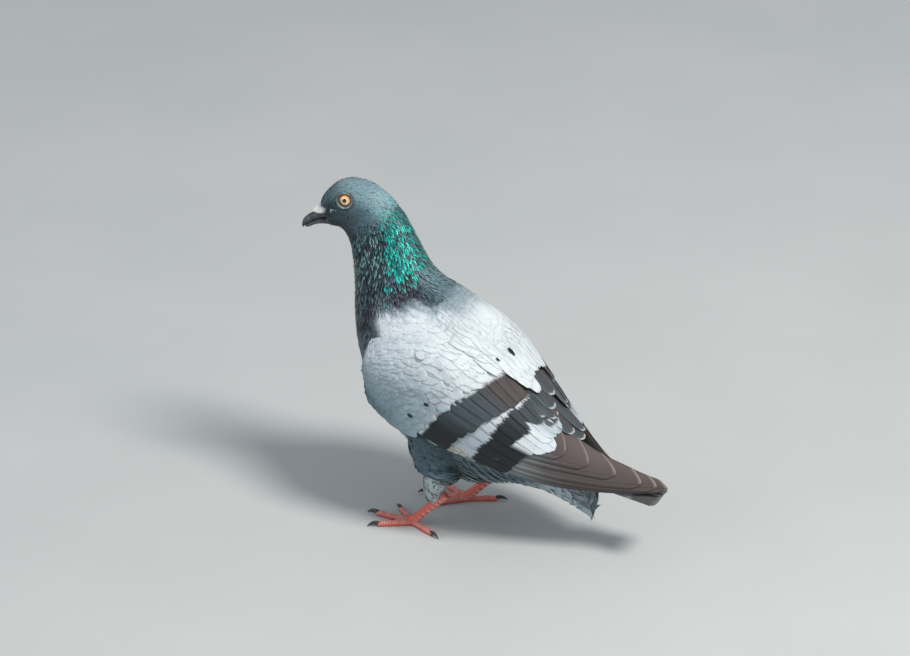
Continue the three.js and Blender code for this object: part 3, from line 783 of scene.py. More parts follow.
def wing_tone(s, v, wobble):
    """Coverts and secondaries: pale, with two dark bars. wobble shifts a bar's edges, in s."""
    w = s + wobble
    one = between(w, bar_one_front(v), 0.588 - 0.155 * v - 0.05 * v * v)
    two = between(w, 0.585 - 0.117 * v, 0.665 - 0.145 * v)
    # Greyer towards the lower edge and slate at the lower front: painted shade on the part of the wing turned
    # from the light. Slate also at the bend.
    return paint(
        PALE, (PALE_GREY, 0.75 * smooth(v, 0.35, 0.85)),
        (BREAST, 0.85 * smooth(v, 0.72, 1.0) * (1 - smooth(s, 0.16, 0.32))),
        (BREAST, 0.7 * (1 - smooth(s, 0.0, 0.05))),
        (mix(BAR_BROWN, BAR, smooth(v, 0.3, 0.8)), one),
        (mix(BAR_GREY, BAR, 0.35 + 0.65 * smooth(v, 0.2, 0.7)), two))


# ---- Skin --------------------------------------------------------


def coat_depth(u):
    """How far the skin lies inside the feather surface, in mm."""
    return 0.8 + 0.9 * smooth(u, 4, 5.5) + 0.9 * smooth(u, 7, 9)


skin_points, skin_quads, skin_count = [], [], 0


def skin_part(points, quads, mirror=False, shift=0.0):
    global skin_count
    if mirror:
        points, quads = mirrored(points, shift), quads[:, ::-1]
    skin_points.append(points)
    skin_quads.append(quads + skin_count)
    skin_count += len(points)


def face_edge(angle):
    """Where the feathers of the face begin: far forward over the forehead, cut back round the cere."""
    a = degrees_off_back(angle)
    return 0.4 + 0.75 * smooth(a, 42, 62) * (1 - 0.55 * smooth(a, 96, 116))


FACE_DEPTH, THIGH_DEPTH, VOXEL = 4.0, 1.6, 0.0014
stations = np.linspace(0.42, STATIONS - 0.15, 112)


def skin_surface(u, angle, off):
    """The body's surface less the coat, and sunk well under bill and cere."""
    bare = 1 - smooth(u - face_edge(angle), -0.1, 0.2)
    return body(u, angle, -coat_depth(u) - FACE_DEPTH * bare)


skin_part(*tube(skin_surface, stations, 64))
points, quads = tube(thigh, np.linspace(0.03, 1, 26), 32, -THIGH_DEPTH)
skin_part(points, quads)
skin_part(points, quads, mirror=True, shift=RIGHT_BACK)
for wing, mirror in ((left_wing, False), (right_wing, True)):
    s = np.linspace(0.03, 0.52, 28)[:, None]
    v = np.linspace(0.03, 0.93, 16)[None]
    outside = wing(s, v, -2.4 - 1.2 * smooth(s, 0.4, 0.52))
    inside = wing(s, v, -8.0 + 3.5 * smooth(s, 0.3, 0.6))[:, ::-1]
    ring = np.concatenate([outside, inside], 1)
    ring = np.concatenate([shrunk(ring[0], 0.02), ring, shrunk(ring[-1], 0.02)])
    n, m = ring.shape[:2]
    caps = [[a, a + 1, m - 2 - a, m - 1 - a] for a in range(m // 2 - 1)]
    caps += [[(n - 1) * m + c for c in reversed(q)] for q in caps]
    skin_part(ring.reshape(-1, 3), np.vstack([grid_faces(n, m, wrap=True), caps]), mirror=mirror)

skin = mesh_object("skin", np.vstack(skin_points), np.vstack(skin_quads))
remesh = skin.modifiers.new("one_skin", "REMESH")
remesh.mode, remesh.voxel_size, remesh.adaptivity = "VOXEL", VOXEL, 0.0
relax = skin.modifiers.new("relax", "SMOOTH")
relax.iterations = 4
evaluated = skin.evaluated_get(bpy.context.evaluated_depsgraph_get())
skin_mesh = bpy.data.meshes.new_from_object(evaluated)
skin.modifiers.clear()
skin.data = skin_mesh
skin.data.name = "skin"

# ---- Contour feathers of head, neck and trunk --------------------


def eye_axis(side):
    """The eye's middle and the direction it looks in, on the turned head."""
    level = math.cos(EYE_UP)
    d = np.array([level * math.cos(EYE_FORWARD), -level * math.sin(EYE_FORWARD), math.sin(EYE_UP)])
    flip = np.array([side, 1, 1])
    at = turn_head(EYE_AT * flip, 1.0)
    return at, unit(turn_head((EYE_AT + d) * flip, 1.0) - at)


EYES = {"left": eye_axis(1), "right": eye_axis(-1)}
LIDS_REACH = 5.35
CLEARANCE, ASIDE = 0.6, 3.0


def off_eye_axis(p):
    """Distance of places from the nearer eye's axis."""
    best = np.full(p.shape[:-1], 1e9)
    for at, way in EYES.values():
        d = p - at
        deep = d @ way
        side = np.linalg.norm(d - deep[..., None] * way, axis=-1)
        best = np.minimum(best, np.where(deep > 0, side, 1e9))
    return best


def under_wing(p):
    """Whether a place on the trunk is covered by a wing: CLEARANCE below it, ASIDE past it at most."""
    hidden = np.zeros(len(p), bool)
    for wing, mirror in ((left_wing, 1), (right_wing, -1)):
        s, v = np.meshgrid(np.linspace(0.1, 0.98, 90), np.linspace(0.06, 0.93, 30), indexing="ij")
        flip = np.array([mirror, 1, 1])
        q, out = wing(s, v).reshape(-1, 3) * flip, frames(wing, s, v)[2].reshape(-1, 3) * flip
        tree = tree_of(q)
        for i, c in enumerate(p):
            if c[0] * mirror < 0:
                continue
            _, j, _ = tree.find(c)
            gap = q[j] - c
            height = gap @ out[j]
            aside = math.sqrt(max(gap @ gap - height * height, 0))
            hidden[i] |= height > CLEARANCE and aside < ASIDE
    return hidden


skin_samples = []  # places and colours that the skin takes its markings from
BODY_SHADE, WING_SHADE = 0.75, 0.8  # the skin's light, as a share of its feathers'


def contour(sheaf, u_range, gap, length, half, seed, a_range=(-180, 180), keep=None, tip_light=0.12,
            wing_check=False, fine=False, jitter=0.1, deep=0.78, rim_shade=0.0, **shape):
    """One tract of the body's small feathers: one tone each, or with fine a tone for each vertex."""
    a0, a1 = (math.radians(x) for x in a_range)
    u, v = scatter(body, u_range, (a0, a1), gap, seed, keep)
    root = body(u, v)
    if wing_check:
        free = ~under_wing(root)
        u, v, root = u[free], v[free], root[free]
    n = len(u)
    of = lambda q: q(u, v) if callable(q) else q
    size = rng.uniform(1 - jitter, 1 + jitter, n)
    f = vanes(body, u, v, of(length) * size, of(half) * size, turn=rng.normal(0, 0.09, n),
              roll=rng.normal(0, 0.05, n), **{k: of(q) for k, q in shape.items()})
    chance = rng.uniform(size=n)
    own = 1 + rng.normal(0, 0.045, n)
    if fine:
        base = body_tone(np.clip(f.u, 0, STATIONS), f.v, chance[:, None, None], f.points)
        base = base * (0.5 + 0.5 * own)[:, None, None, None]
    else:
        middle = f.v.shape[2] // 2
        base = body_tone(np.clip(f.u[:, -2, 0], 0, STATIONS), f.v[:, -2, middle], chance,
                         f.points[:, -1, middle])
        base = (base * own[:, None])[:, None, None]
    # Painted light on each feather: darker towards the covered root (deep), a painted shade, and on the neck
    # also the feather's own dark base; lighter at the tip (tip_light), a painted highlight, and on the neck
    # also its own bright tip; darker at the sides, a painted shade between neighbours.
    shade = deep + (1 - deep) * smooth(f.along, 0.25, 0.8)
    shade = shade * (1 + tip_light * smooth(f.along + 0.12 * np.abs(f.across), 0.82, 1.0))
    shade = shade * (1 - rim_shade * smooth(np.abs(f.across), 0.4, 1.0))
    tones = base * shade[..., None]
    around = (v + np.pi) / (2 * np.pi)
    sheaf.add(f, tones, bake_places(f, around, u / STATIONS))
    skin_samples.append((root, base.mean((1, 2)) * BODY_SHADE))


def clear_face(u, v):
    """Keeps feathers off the eyelids, from root to tip, and off the cere."""
    off_lids = np.all([off_eye_axis(body(u + step, v)) > LIDS_REACH for step in (0, 0.12, 0.24)], axis=0)
    return off_lids & (u > face_edge(v))


def neck_starts(v):
    """The station where the head's short feathers give way to the neck's, further forward in front."""
    return 4.25 - 0.95 * smooth(degrees_off_back(v), 55, 110)


def neck_ends(v):
    """The station where the neck's small feathers meet the mantle's, further back over the spine."""
    return 8.2 - 0.78 * smooth(degrees_off_back(v), 14, 58)


matt = plumage("plumage_slate", roughness=0.75, sheen=0.3)
head = Sheaf("coat_head")
short = dict(tip=0.25, rows=3, columns=4, tip_light=0.14)
contour(head, (0.36, 2.2), 0.9, 2.4, 0.75, 11, keep=clear_face, base=-0.7, rise=0.75, cup=0.05, ragged=0.14,
        rim_shade=0.1, **short)
contour(head, (2.05, 4.6), 1.0, 3.4, 0.95, 12, base=-0.8, rise=0.85, cup=0.045, ragged=0.16, rim_shade=0.12,
        keep=lambda u, v: clear_face(u, v) & (u < neck_starts(v) + 0.3), **short)
head.make(matt, "slate_plumage")

gloss = plumage("plumage_neck", roughness=0.42, sheen=0.15, streak=0.3, metal=0.25, relief=0.8)
neck = Sheaf("coat_neck")
gap, length, half = (ramp(*sizes, 3.8, 6.5) for sizes in ((0.8, 1.2), (2.8, 5.2), (0.62, 1.05)))
contour(neck, (3.25, 8.2), gap, length, half, 13, keep=lambda u, v: (u > neck_starts(v)) & (u < neck_ends(v)),
        base=-1.3, rise=1.4, cup=0.05, tip=0.4, ragged=0.2, stem=0.7, taper=0.6, rows=4, columns=3,
        tip_light=0.35, jitter=0.25, deep=0.5, rim_shade=0.35)
neck.make(gloss, "neck_plumage")

soft = plumage("plumage_pale", roughness=0.85, sheen=0.25, streak=0.1, blotch=0.07)
trunk = Sheaf("coat_back")
contour(trunk, (7.2, 9.2), 1.8, 7.5, 2.1, 14, a_range=(-104, 104), wing_check=True, fine=True,
        keep=lambda u, v: u > neck_ends(v) - 0.2, base=-0.6, rise=0.7, cup=0.006, ragged=0.16, rows=6,
        tip_light=0.02, deep=0.9)
contour(trunk, (9.0, 12.6), 3.6, 14.0, 4.0, 24, a_range=(-100, 100), wing_check=True, fine=True,
        base=-1.6, rise=1.4, cup=0.01, tip=0.28, ragged=0.1, tip_light=0.03, deep=0.9)
contour(trunk, (12.2, 14.6), 4.2, 21.0, 4.4, 15, a_range=(-88, 88), base=-1.6, rise=1.5, cup=0.02, tip=0.25,
        ragged=0.1, tip_light=0.04, deep=0.88)
trunk.make(soft, "slate_plumage")

belly = Sheaf("coat_belly")
contour(belly, (7.15, 11.9), 3.0, 12.5, 3.1, 16, a_range=(98, 262), wing_check=True,
        base=lambda u, v: -2.0 + 5.0 * near(u, degrees_off_back(v), 11.2, 138, 0.5, 24), rise=2.0,
        cup=0.02, ragged=0.28, rows=4, tip_light=0.1)
contour(belly, (11.6, 14.1), 3.9, ramp(14.0, 24.0, 12, 14), 3.9, 17,
        a_range=(90, 270), wing_check=True, base=-2.2, rise=lambda u, v: 2.2 + 1.2 * smooth(u, 13, 14.5),
        cup=0.02, ragged=0.22)
belly.make(matt, "slate_plumage")

# ---- Thighs ------------------------------------------------------


def thigh_tone(f, chance):
    tone = mix(BREAST, BELLY, smooth(f, 0.3, 0.6))
    streak = mix(TUFT, TUFT_DARK, chance > 0.74)
    return mix(tone, streak, smooth(f, 0.5, 0.6))


legs = Sheaf("coat_thighs")
f_roots, a_roots = scatter(thigh, (0.05, 0.93), (0, 2 * np.pi), ramp(2.9, 1.15, 0.4, 0.6), 21)
n = len(f_roots)
length = lerp(11.5, 8.0, smooth(f_roots, 0.4, 0.8)) * rng.uniform(0.85, 1.15, n)
half = lerp(2.9, 0.8, smooth(f_roots, 0.4, 0.62))
thighs = vanes(thigh, f_roots, a_roots, length, half, turn=rng.normal(0, 0.1, n), base=-1.0,
               rise=1.0 + 0.6 * smooth(f_roots, 0.5, 0.8), cup=0.02, roll=rng.normal(0, 0.05, n),
               tip=0.35, ragged=0.3, taper=0.7, rows=4, columns=4, sign=-1.0)
base = thigh_tone(np.clip(thighs.u[:, -1, 2], 0, 1), rng.uniform(size=n))
# Painted along each feather: darker towards the covered root, a painted shade, and a little lighter at the
# tip, a painted highlight.
tones = base[:, None, None] * (0.75 + 0.35 * smooth(thighs.along, 0.3, 1.0))[..., None]
for mirror in (False, True):
    legs.add(thighs, tones, bake_places(thighs, a_roots / 6.2832 * 0.48 + 0.5 * mirror, f_roots),
             mirror=mirror, back=RIGHT_BACK * mirror)
    roots = thigh(f_roots, a_roots)
    skin_samples.append((mirrored(roots, RIGHT_BACK) if mirror else roots, base * BODY_SHADE))
legs.make(matt, "slate_plumage")

# ---- Wings -------------------------------------------------------

flight = plumage("plumage_flight", roughness=0.6, sheen=0.1, streak=0.14, blotch=0.06, shaft=-0.3)


def row_of(wing, tip_at, first, last, spacing, s_ref):
    """Tips of one row of coverts: v from first to last, about spacing mm apart."""
    line = wing(np.full(80, s_ref), np.linspace(first, last, 80))
    span = np.linalg.norm(np.diff(line, axis=0), axis=1).sum()
    v = np.linspace(first, last, max(3, int(round(span / spacing)) + 1))
    return tip_at(v), v


def from_tips(wing, s_tip, v_tip, length, turn):
    """Roots of feathers whose tips are given."""
    pu, pv, _ = frames(wing, s_tip, v_tip)
    s = s_tip - length * np.cos(turn) / np.linalg.norm(pu, axis=-1)
    v = v_tip - length * np.sin(turn) / np.linalg.norm(pv, axis=-1)
    return np.maximum(s, 0.0), v


def covert_tones(f, tone, fringe, spread):
    """A tone a little different on each feather, darker at the root, a painted shade where the feathers over
    it lie, and lighter at the edge.
    """
    tone = tone * (1 + rng.normal(0, spread, len(tone)))[:, None, None, None]
    edge = smooth(f.along + 0.1 * np.abs(f.across), 0.9, 1.0)
    # darker towards the root: a painted shade
    shade = (0.94 + 0.06 * smooth(f.along, 0.45, 0.8)) * (1 + fringe * edge)
    return tone * shade[..., None]


def blades(wing, s_root, v_root, s_tip, v_tip, drop, reach, base, rise, r, lower_by, rows=34, columns=12):
    """Long feathers laid on the wing's own grid: lower edges run straight from (s_root, v_root) to
    (s_tip, v_tip), each is reach mm deep, and its end falls away by drop towards the upper edge."""
    n = len(s_tip)
    col = lambda q: np.broadcast_to(np.asarray(q, float), (n,))[:, None, None]
    s_root, v_root, s_tip, v_tip, drop, reach, base, rise = map(
        col, (s_root, v_root, s_tip, v_tip, drop, reach, base, rise))
    a = (np.linspace(0, 1, rows) ** 0.85)[None, :, None]
    b = np.linspace(-1, 1, columns)[None, None]
    upper, lower = np.clip((b + 0.4) / 1.4, 0, 1), np.clip((-0.3 - b) / 0.7, 0, 1)
    end = s_tip - drop * upper**2.2 - 0.03 * lower**2
    s = s_root + (end - s_root) * a
    low = v_root + (v_tip - v_root) * (s - s_root) / (s_tip - s_root)
    deep = np.linalg.norm(wing(s, 0 * s) - wing(s, 0 * s + 1), axis=-1)
    ceiling = (0.075 - 0.055 * smooth(s, 0.68, 0.76) + 0.06 * smooth(s, 0.82, 0.95)
               + 0.15 * smooth(s, 0.95, 1.0) + lower_by * (1 + 0.9 * smooth(s, 0.69, 0.76)))
    widening = 0.35 + 0.65 * smooth(a, 0, 0.5)
    high = np.maximum(low - reach * widening / deep, np.minimum(ceiling, low - 0.04))
    v = low + (high - low) * (b + 1) / 2
    p = wing(s, v)
    out = frames(wing, np.minimum(s, 0.985), v)[2]
    h = base + rise * a + 0 * b
    x = (low - v) * deep
    length = np.linalg.norm(np.diff(p, axis=1), axis=-1).sum(1).mean(-1)[:, None, None]
    barb = np.stack([length * a - 0.6 * x + r.uniform(0, BARB_SPAN, (n, 1, 1)), x - 3.2], -1)
    return SimpleNamespace(
        points=p + out * h[..., None], out=out[:, :, columns // 2], barb=barb, u=s, v=v,
        along=a + 0 * x, across=b + 0 * x, x=x, ends=(end - s) / 0.01)


def strips(f, n, strip):
    """Bake map places for a set of large feathers: each a rectangle in the set's own strip."""
    x = (f.across + 1) / 2 * 0.9 / n + (np.arange(n) / n)[:, None, None]
    return np.stack([x, (0.95 * np.clip(f.along, 0, 1) + strip) / STRIPS], -1)


def cover_tone(s, v, places):
    """The small coverts: pale, blue-grey in front, greyer below and blue slate to slate at the lower front as
    painted shade, with a slate margin at the bend.
    """
    # Greyer below, blue slate and slate at the lower front: painted shade on the part turned from the light.
    tone = paint(
        PALE, (PALE_BLUE, (1 - smooth(s, 0.14, 0.42)) * 0.9),
        (PALE_GREY, 0.85 * smooth(v, 0.2, 0.7) * (1 - 0.75 * smooth(s, 0.3, 0.5))),
        (LOW_COVERT, 0.6 * smooth(v, 0.5, 0.85) * (1 - smooth(s, 0.22, 0.42))),
        (BREAST, 0.8 * smooth(v, 0.78, 1.0) * (1 - smooth(s, 0.14, 0.3))),
        (LOW_COVERT, 0.6 * (1 - smooth(s, 0.0, 0.05))))
    # Blotches: the larger ones a tone that wanders at random, the smaller ones also a painted soft shade
    # between groups of feathers.
    return tone * (1 + 0.05 * mottle(places, 16.0) + 0.035 * mottle(places, 6.0))[..., None]


def cover_of(f):
    return cover_tone(np.clip(f.u, 0, 1), np.clip(f.v, 0, 1), f.points)


def tertial_tone(f, end, rim):
    """Brown and grey beyond the pale shoulder, with pale edges as strong as end and rim."""
    tone = mix(PALE, mix(BAR_GREY, BAR_BROWN, 0.5 + 0.5 * f.across), smooth(f.u, 0.53, 0.55))
    return mix(tone, PALE, np.maximum(end, rim))


def make_wing(side, wing, mirror):
    coverts, big = Sheaf("coat_wing_" + side), Sheaf("flight_" + side)
    r = np.random.default_rng(31)
    # small coverts, row by row from the bend to the first bar
    fronts = np.concatenate([np.arange(0.05, 0.30, 0.017), np.arange(0.305, 0.51, 0.024), [0.522]])
    for i, c in enumerate(fronts):
        size = smooth(c, 0.05, 0.5)
        spacing = lerp(3.4, 6.4, size)
        slope = lerp(0.05, 0.21, smooth(c, 0.05, 0.4))
        first = 0.08 + 0.04 * mirror
        s, v = row_of(wing, lambda q: c - slope * q, first, 0.99, spacing, max(c - 0.1, 0.05))
        v = v + (0.5 * (i % 2)) * (v[1] - v[0]) + r.normal(0, 0.012, len(v))
        s = c - slope * np.clip(v, 0, 1) + r.normal(0, 0.006, len(v)) * (1 - 0.5 * smooth(c, 0.45, 0.52))
        ok = (s > 0.012) & (v < 1.0)
        s, v = s[ok], v[ok]
        n = len(s)
        length = lerp(10.0, 22.0, size) * r.uniform(0.88, 1.14, n)
        turn = 0.25 * (1 - v) + r.normal(0, 0.1, n)
        s0, v0 = from_tips(wing, s, v, length, turn)
        f = vanes(wing, s0, v0, length, lerp(2.9, 5.2, size), to=(s, v), base=-0.28 - 0.22 * size,
                  rise=lerp(0.3, 0.52, size), cup=0.004, roll=r.normal(-0.008, 0.015, n),
                  tip=lerp(0.28, 0.2, size), ragged=0.1, rows=6, columns=8)
        coverts.add(f, covert_tones(f, cover_of(f), fringe=0.02, spread=0.02),
                    bake_places(f, np.clip(s0, 0, 1), np.clip(v0, 0, 1)), thick=0.03, mirror=mirror)
        root = wing(s0, v0)
        skin_samples.append((root * (FLIP if mirror else 1), cover_tone(s0, v0, root) * WING_SHADE))
    if side == "left":
        # ruffled feathers and two dark specks
        s, v = np.array([0.318, 0.345, 0.30, 0.265, 0.335]), np.array([0.29, 0.36, 0.60, 0.27, 0.67])
        f = vanes(wing, s, v, np.array([9.0, 10.0, 9.0, 8.0, 7.0]), 2.6, turn=0.55, base=-0.2, rise=1.7,
                  roll=np.array([0.3, 0.25, 0.3, -0.25, 0.2]), ragged=0.1, rows=6, columns=8)
        coverts.add(f, cover_of(f), bake_places(f, s, v), thick=0.06)
        s, v = np.array([0.322, 0.277]), np.array([0.68, 0.835])
        f = vanes(wing, s, v, np.array([3.6, 3.8]), 1.2, turn=0.3, base=0.35, rise=0.15, tip=0.4,
                  ragged=0.2)
        coverts.add(f, plain(BAR, f.along), bake_places(f, s, v), thick=0.06)

    def large(strip, s, v, length, turn, half, tone_of, fringe=0.05, thick=0.2, **shape):
        n = len(s)
        s0, v0 = from_tips(wing, s, v, length, turn)
        usual = dict(cup=0.006, tip=0.14, ragged=0.015, rows=14, columns=8, roll=r.normal(-0.03, 0.01, n))
        f = vanes(wing, s0, v0, length, half, to=(s, v), **{**usual, **shape})
        tones = covert_tones(f, tone_of(f), fringe=fringe, spread=0.03)
        big.add(f, tones, strips(f, n, strip), thick=thick, mirror=mirror)

    # primaries, the outermost lowest
    n = 6
    i = np.arange(n)
    f = blades(wing, 0.42, 0.865 + 0.025 * i, np.array([0.698, 0.763, 0.838, 0.912, 0.962, 1.0]),
               np.array([0.56, 0.57, 0.62, 0.80, 0.90, 0.96]),
               np.array([0.025, 0.034, 0.04, 0.03, 0.03, 0.03]), 24.0, -2.6 - 0.28 * i, 1.3, r, 0.3 * mirror)
    rim = (1 - smooth(f.ends, 0.2, 0.6)) * 0.75
    tone = paint(
        PRIMARY, (PRIMARY_LIGHT, 0.8 * (1 - smooth(f.x, 2.4, 3.8)) * (1 - smooth(f.u, 0.5, 0.74))),
        (PRIMARY_LIGHT, 0.7 * (1 - smooth(f.u, 0.56, 0.66))), (BAR, 0.35 * (1 - smooth(f.x, 0.0, 0.6))),
        (FRINGE, rim * smooth(f.across, -0.6, 0.0)))
    big.add(f, tone, strips(f, n, 0), thick=0.22, mirror=mirror)

    # secondaries
    s, v = row_of(wing, lambda q: 0.70 - 0.14 * q + 0.03 * hill(q, 0.48, 0.12), 0.17, 0.90, 6.0, 0.55)
    s = s + r.normal(0, 0.003, len(s))
    wob = r.normal(0, 0.003, len(s))
    rank = np.linspace(0, 1, len(s))

    def secondary_tone(f):
        q = np.clip(f.v, 0, 1)
        uneven = wob[:, None, None] + 0.004 * np.abs(f.across) + 0.003 * np.sin(f.x * 2.3)
        tone = wing_tone(np.clip(f.u, 0, 1), q, uneven)
        start = 0.66 - 0.15 * q - 0.024 * hill(q, 0.35, 0.035) + 0.02 * hill(q, 0.43, 0.03)
        ends = smooth(f.u, start - 0.002, start + 0.002)
        patch = mix(mix(PALE, PALE_GREY, 0.7), mix(PALE, PALE_BLUE, 0.4), smooth(q, 0.25, 0.4))
        return mix(tone, mix(patch, BAR, smooth(q, 0.63, 0.7)), ends)

    large(1, s, v, 52.0, 0.03 + 0.15 * (1 - v), 6.6, secondary_tone, rows=44, columns=14,
          base=-2.1 - 0.4 * rank, rise=1.4, thick=0.06, roll=r.normal(-0.009, 0.006, len(s)))
    # tertials
    s, v = np.array([0.665, 0.65, 0.632]), np.array([0.2, 0.165, 0.13])

    def own_tertial_tone(f):
        end = smooth(f.along + 0.015 * np.abs(f.across), 0.95, 0.98)
        rim = smooth(-f.across, 0.8, 0.97) * smooth(f.along, 0.5, 0.7)
        return tertial_tone(f, 0.75 * end, 0.1 * rim)

    large(2, s, v, 44.0, 0.14, 4.8, own_tertial_tone, rows=20, cup=0.035,
          base=np.array([-3.4, -3.2, -3.0]), rise=2.3)
    # cream lower edge coverts
    n = 5
    s, v = np.linspace(0.375, 0.455, n), np.linspace(0.985, 0.955, n)
    large(3, s, v, 12.0, 0.02, 2.3, lambda f: plain(CREAM, f.along), fringe=0.15, rows=8, base=-2.6,
          rise=1.3)
    # greater coverts with the first bar
    s, v = row_of(wing, lambda q: 0.592 - 0.155 * q - 0.05 * q * q, 0.17, 0.93, 6.0, 0.47)
    s = s + r.normal(0, 0.003, len(s))
    wob2 = r.normal(0, 0.003, len(s))

    def greater_tone(f):
        q = np.clip(f.v, 0, 1)
        front = bar_one_front(q)
        dark = smooth(f.u + wob2[:, None, None], front - 0.008, front + 0.002)
        streak = 0.2 * smooth(np.sin(f.x * 3.1 + f.u * 40), 0.2, 1.0) * (1 - smooth(q, 0.5, 0.75))
        band = mix(mix(BAR_BROWN, BAR_GREY, smooth(q, 0.25, 0.5)), BAR, smooth(q, 0.62, 0.85))
        return mix(plain(PALE, q), mix(band, BAR_GREY, streak), dark)

    large(4, s, v, 32.0, 0.05 + 0.15 * (1 - v), 6.0, greater_tone, base=-1.3, rise=1.1,
          tip=0.07, rows=26, columns=12, thick=0.06, roll=r.normal(-0.008, 0.006, len(s)))
    coverts.make(soft, "wing_plumage")
    big.make(flight, "wing_plumage", "wing_" + side)


make_wing("left", left_wing, False)
make_wing("right", right_wing, True)

# ---- Shoulder feathers and inner tertials over the back ----------


def shawl_tone(s, w, chance):
    """Slate at the hindneck, then grey and pale, the pale reaching further forward at the sides."""
    s = s + 0.13 * smooth(np.abs(w), 0.25, 0.9)
    tone = mix(mix(NECK_MID, HINDNECK, chance), PALE_GREY, smooth(s, 0.285, 0.325))
    tone = mix(mix(tone, PALE_BLUE, smooth(s, 0.325, 0.36)), PALE, smooth(s, 0.34, 0.39))
    return mix(tone, PALE_BLUE, 0.3 * (chance > 0.75))


def cloak_end(w):
    """The last roots of the cloak: drawn out over the left wing's tertials, shorter towards both wings."""
    return 0.515 - 0.085 * smooth(np.abs(w), 0.45, 0.95) + 0.022 * hill(w, 0.42, 0.13)


cloak = Sheaf("coat_shoulders")
s_roots, w_roots = scatter(shawl, (0.285, 0.54), (-1.0, 1.0), ramp(2.8, 4.1, 0.3, 0.45), 41,
                           keep=lambda s, w: s < cloak_end(w))
n = len(s_roots)
length = lerp(13.0, 19.0, smooth(s_roots, 0.25, 0.42)) * rng.uniform(0.9, 1.06, n)
over = vanes(shawl, s_roots, w_roots, length, lerp(3.4, 5.0, smooth(s_roots, 0.25, 0.42)),
             turn=rng.normal(0, 0.06, n), roll=rng.normal(0, 0.01, n),
             base=0.4 * smooth(s_roots, 0.42, 0.5) - 0.9 * (1 - smooth(s_roots, 0.28, 0.36)),
             rise=0.35, stem=0.8, cup=0.003, tip=0.24, ragged=0.1, rows=6, columns=8)
ripple = 0.006 * mottle(over.points, 6.0)
tone = shawl_tone(over.u + ripple, over.v, rng.uniform(size=n)[:, None, None])
tone = tone * (1 + rng.normal(0, 0.025, n))[:, None, None, None]
# Darker towards the root: a painted shade under the feathers over it.
shade = 0.95 + 0.05 * smooth(over.along, 0.4, 0.8)
cloak.add(over, tone * shade[..., None], bake_places(over, s_roots, (w_roots + 1) / 2), thick=0.06)
s_speck, w_speck = np.array([0.484, 0.468]), np.array([0.22, 0.74])
speck = vanes(shawl, s_speck, w_speck, np.array([6.0, 3.2]), np.array([1.5, 0.7]), base=1.3, rise=0.1,
              tip=0.5, ragged=0.2)
cloak.add(speck, plain(0.5 * BAR, speck.along), bake_places(speck, s_speck, (w_speck + 1) / 2), thick=0.06)
skin_samples.append((shawl(s_roots, w_roots, -1.5), tone.mean((1, 2)) * WING_SHADE))
cloak.make(soft, "slate_plumage")

roof = Sheaf("tertials")
s_tip = np.array([0.72, 0.765, 0.74, 0.69, 0.675, 0.655, 0.665, 0.60, 0.62])
w_tip = np.array([0.55, 0.24, -0.12, -0.85, 0.92, -0.45, 0.60, -0.06, 0.28])
n = len(s_tip)
s0, w0 = from_tips(shawl, s_tip, w_tip, 46.0, 0.05 * w_tip)
f = vanes(shawl, np.maximum(s0, 0.3), w0, 46.0, 6.8, turn=0.05 * w_tip, base=-4.6 + 0.1 * np.arange(n),
          rise=3.4, cup=0.006, roll=0.03 * np.sign(w_tip), tip=0.12, ragged=0.012, rows=22, columns=10)
end = smooth(f.along + 0.012 * np.abs(f.across), 0.955, 0.98)
rim = smooth(np.abs(f.across), 0.86, 0.98) * smooth(f.along, 0.55, 0.8)
roof.add(f, tertial_tone(f, 0.9 * end, 0.12 * rim), strips(f, n, 0), thick=0.2)
roof.make(flight, "wing_plumage")

# ---- Tail --------------------------------------------------------


def tail_surface(u, v, off=0.0):
    """u along the tail from its root, v the share of its spread, -1 to 1."""
    u, v, off = np.broadcast_arrays(np.asarray(u, float), v, off)
    p = TAIL_ROOT + (TAIL_TIP - TAIL_ROOT) * u[..., None]
    x = v * 8 * (0.25 + 0.75 * u)
    return p + np.stack([x, -np.abs(v) * 3.6 * u, off - v * v * 1.5 - np.abs(v) * 1.05], -1)


tail = Sheaf("tail_feathers")
order = np.array([-1.0, 1.0, -0.8, 0.8, -0.6, 0.6, -0.4, 0.4, -0.2, 0.2, -0.06, 0.06])
n = len(order)
f = vanes(tail_surface, np.full(n, 0.02), 0.75 * order, 55.5, 7.2, base=np.linspace(-1.2, 0.2, n), rise=0.2,
          cup=0.006, tip=0.07, ragged=0.004, stem=0.7, taper=0.92, rows=20, columns=10, sign=-1.0)
dark = smooth(f.along, 0.66, 0.72) * (1 - 0.35 * smooth(f.along, 0.95, 0.985))
tone = mix(TAIL_GREY, TAIL_DARK, dark)
tail.add(f, tone, strips(f, n, 0), thick=0.3)
tail.make(flight, "tail_plumage", "tail")

# ---- The skin's markings -----------------------------------------

places = np.vstack([p for p, _ in skin_samples])
tints = np.vstack([t for _, t in skin_samples])
tree = tree_of((places + SHIFT) * MM)
co = np.zeros(len(skin.data.vertices) * 3)
skin.data.vertices.foreach_get("co", co)
co = co.reshape(-1, 3)
nearest = [tree.find(c)[1] for c in co]
store_tones(skin.data, tints[nearest])
skin.data.polygons.foreach_set("use_smooth", np.ones(len(skin.data.polygons), bool))
skin.data.materials.clear()
dress(skin, mottled("skin_down", None, None, 900.0, roughness=0.9, relief=0.8), "slate_plumage",
      "head", "neck", "trunk", "thigh_left", "thigh_right")

# ---- Eyes --------------------------------------------------------


def ring_frame(side):
    """An eye's middle, the way it looks, and what is up and towards the bill on it."""
    at, way = EYES[side]
    up = unit(np.array([0, 0, 1.0]) - way * way[2])
    fore = np.cross(up, way)
    return at, way, up, -fore if fore[1] > 0 else fore


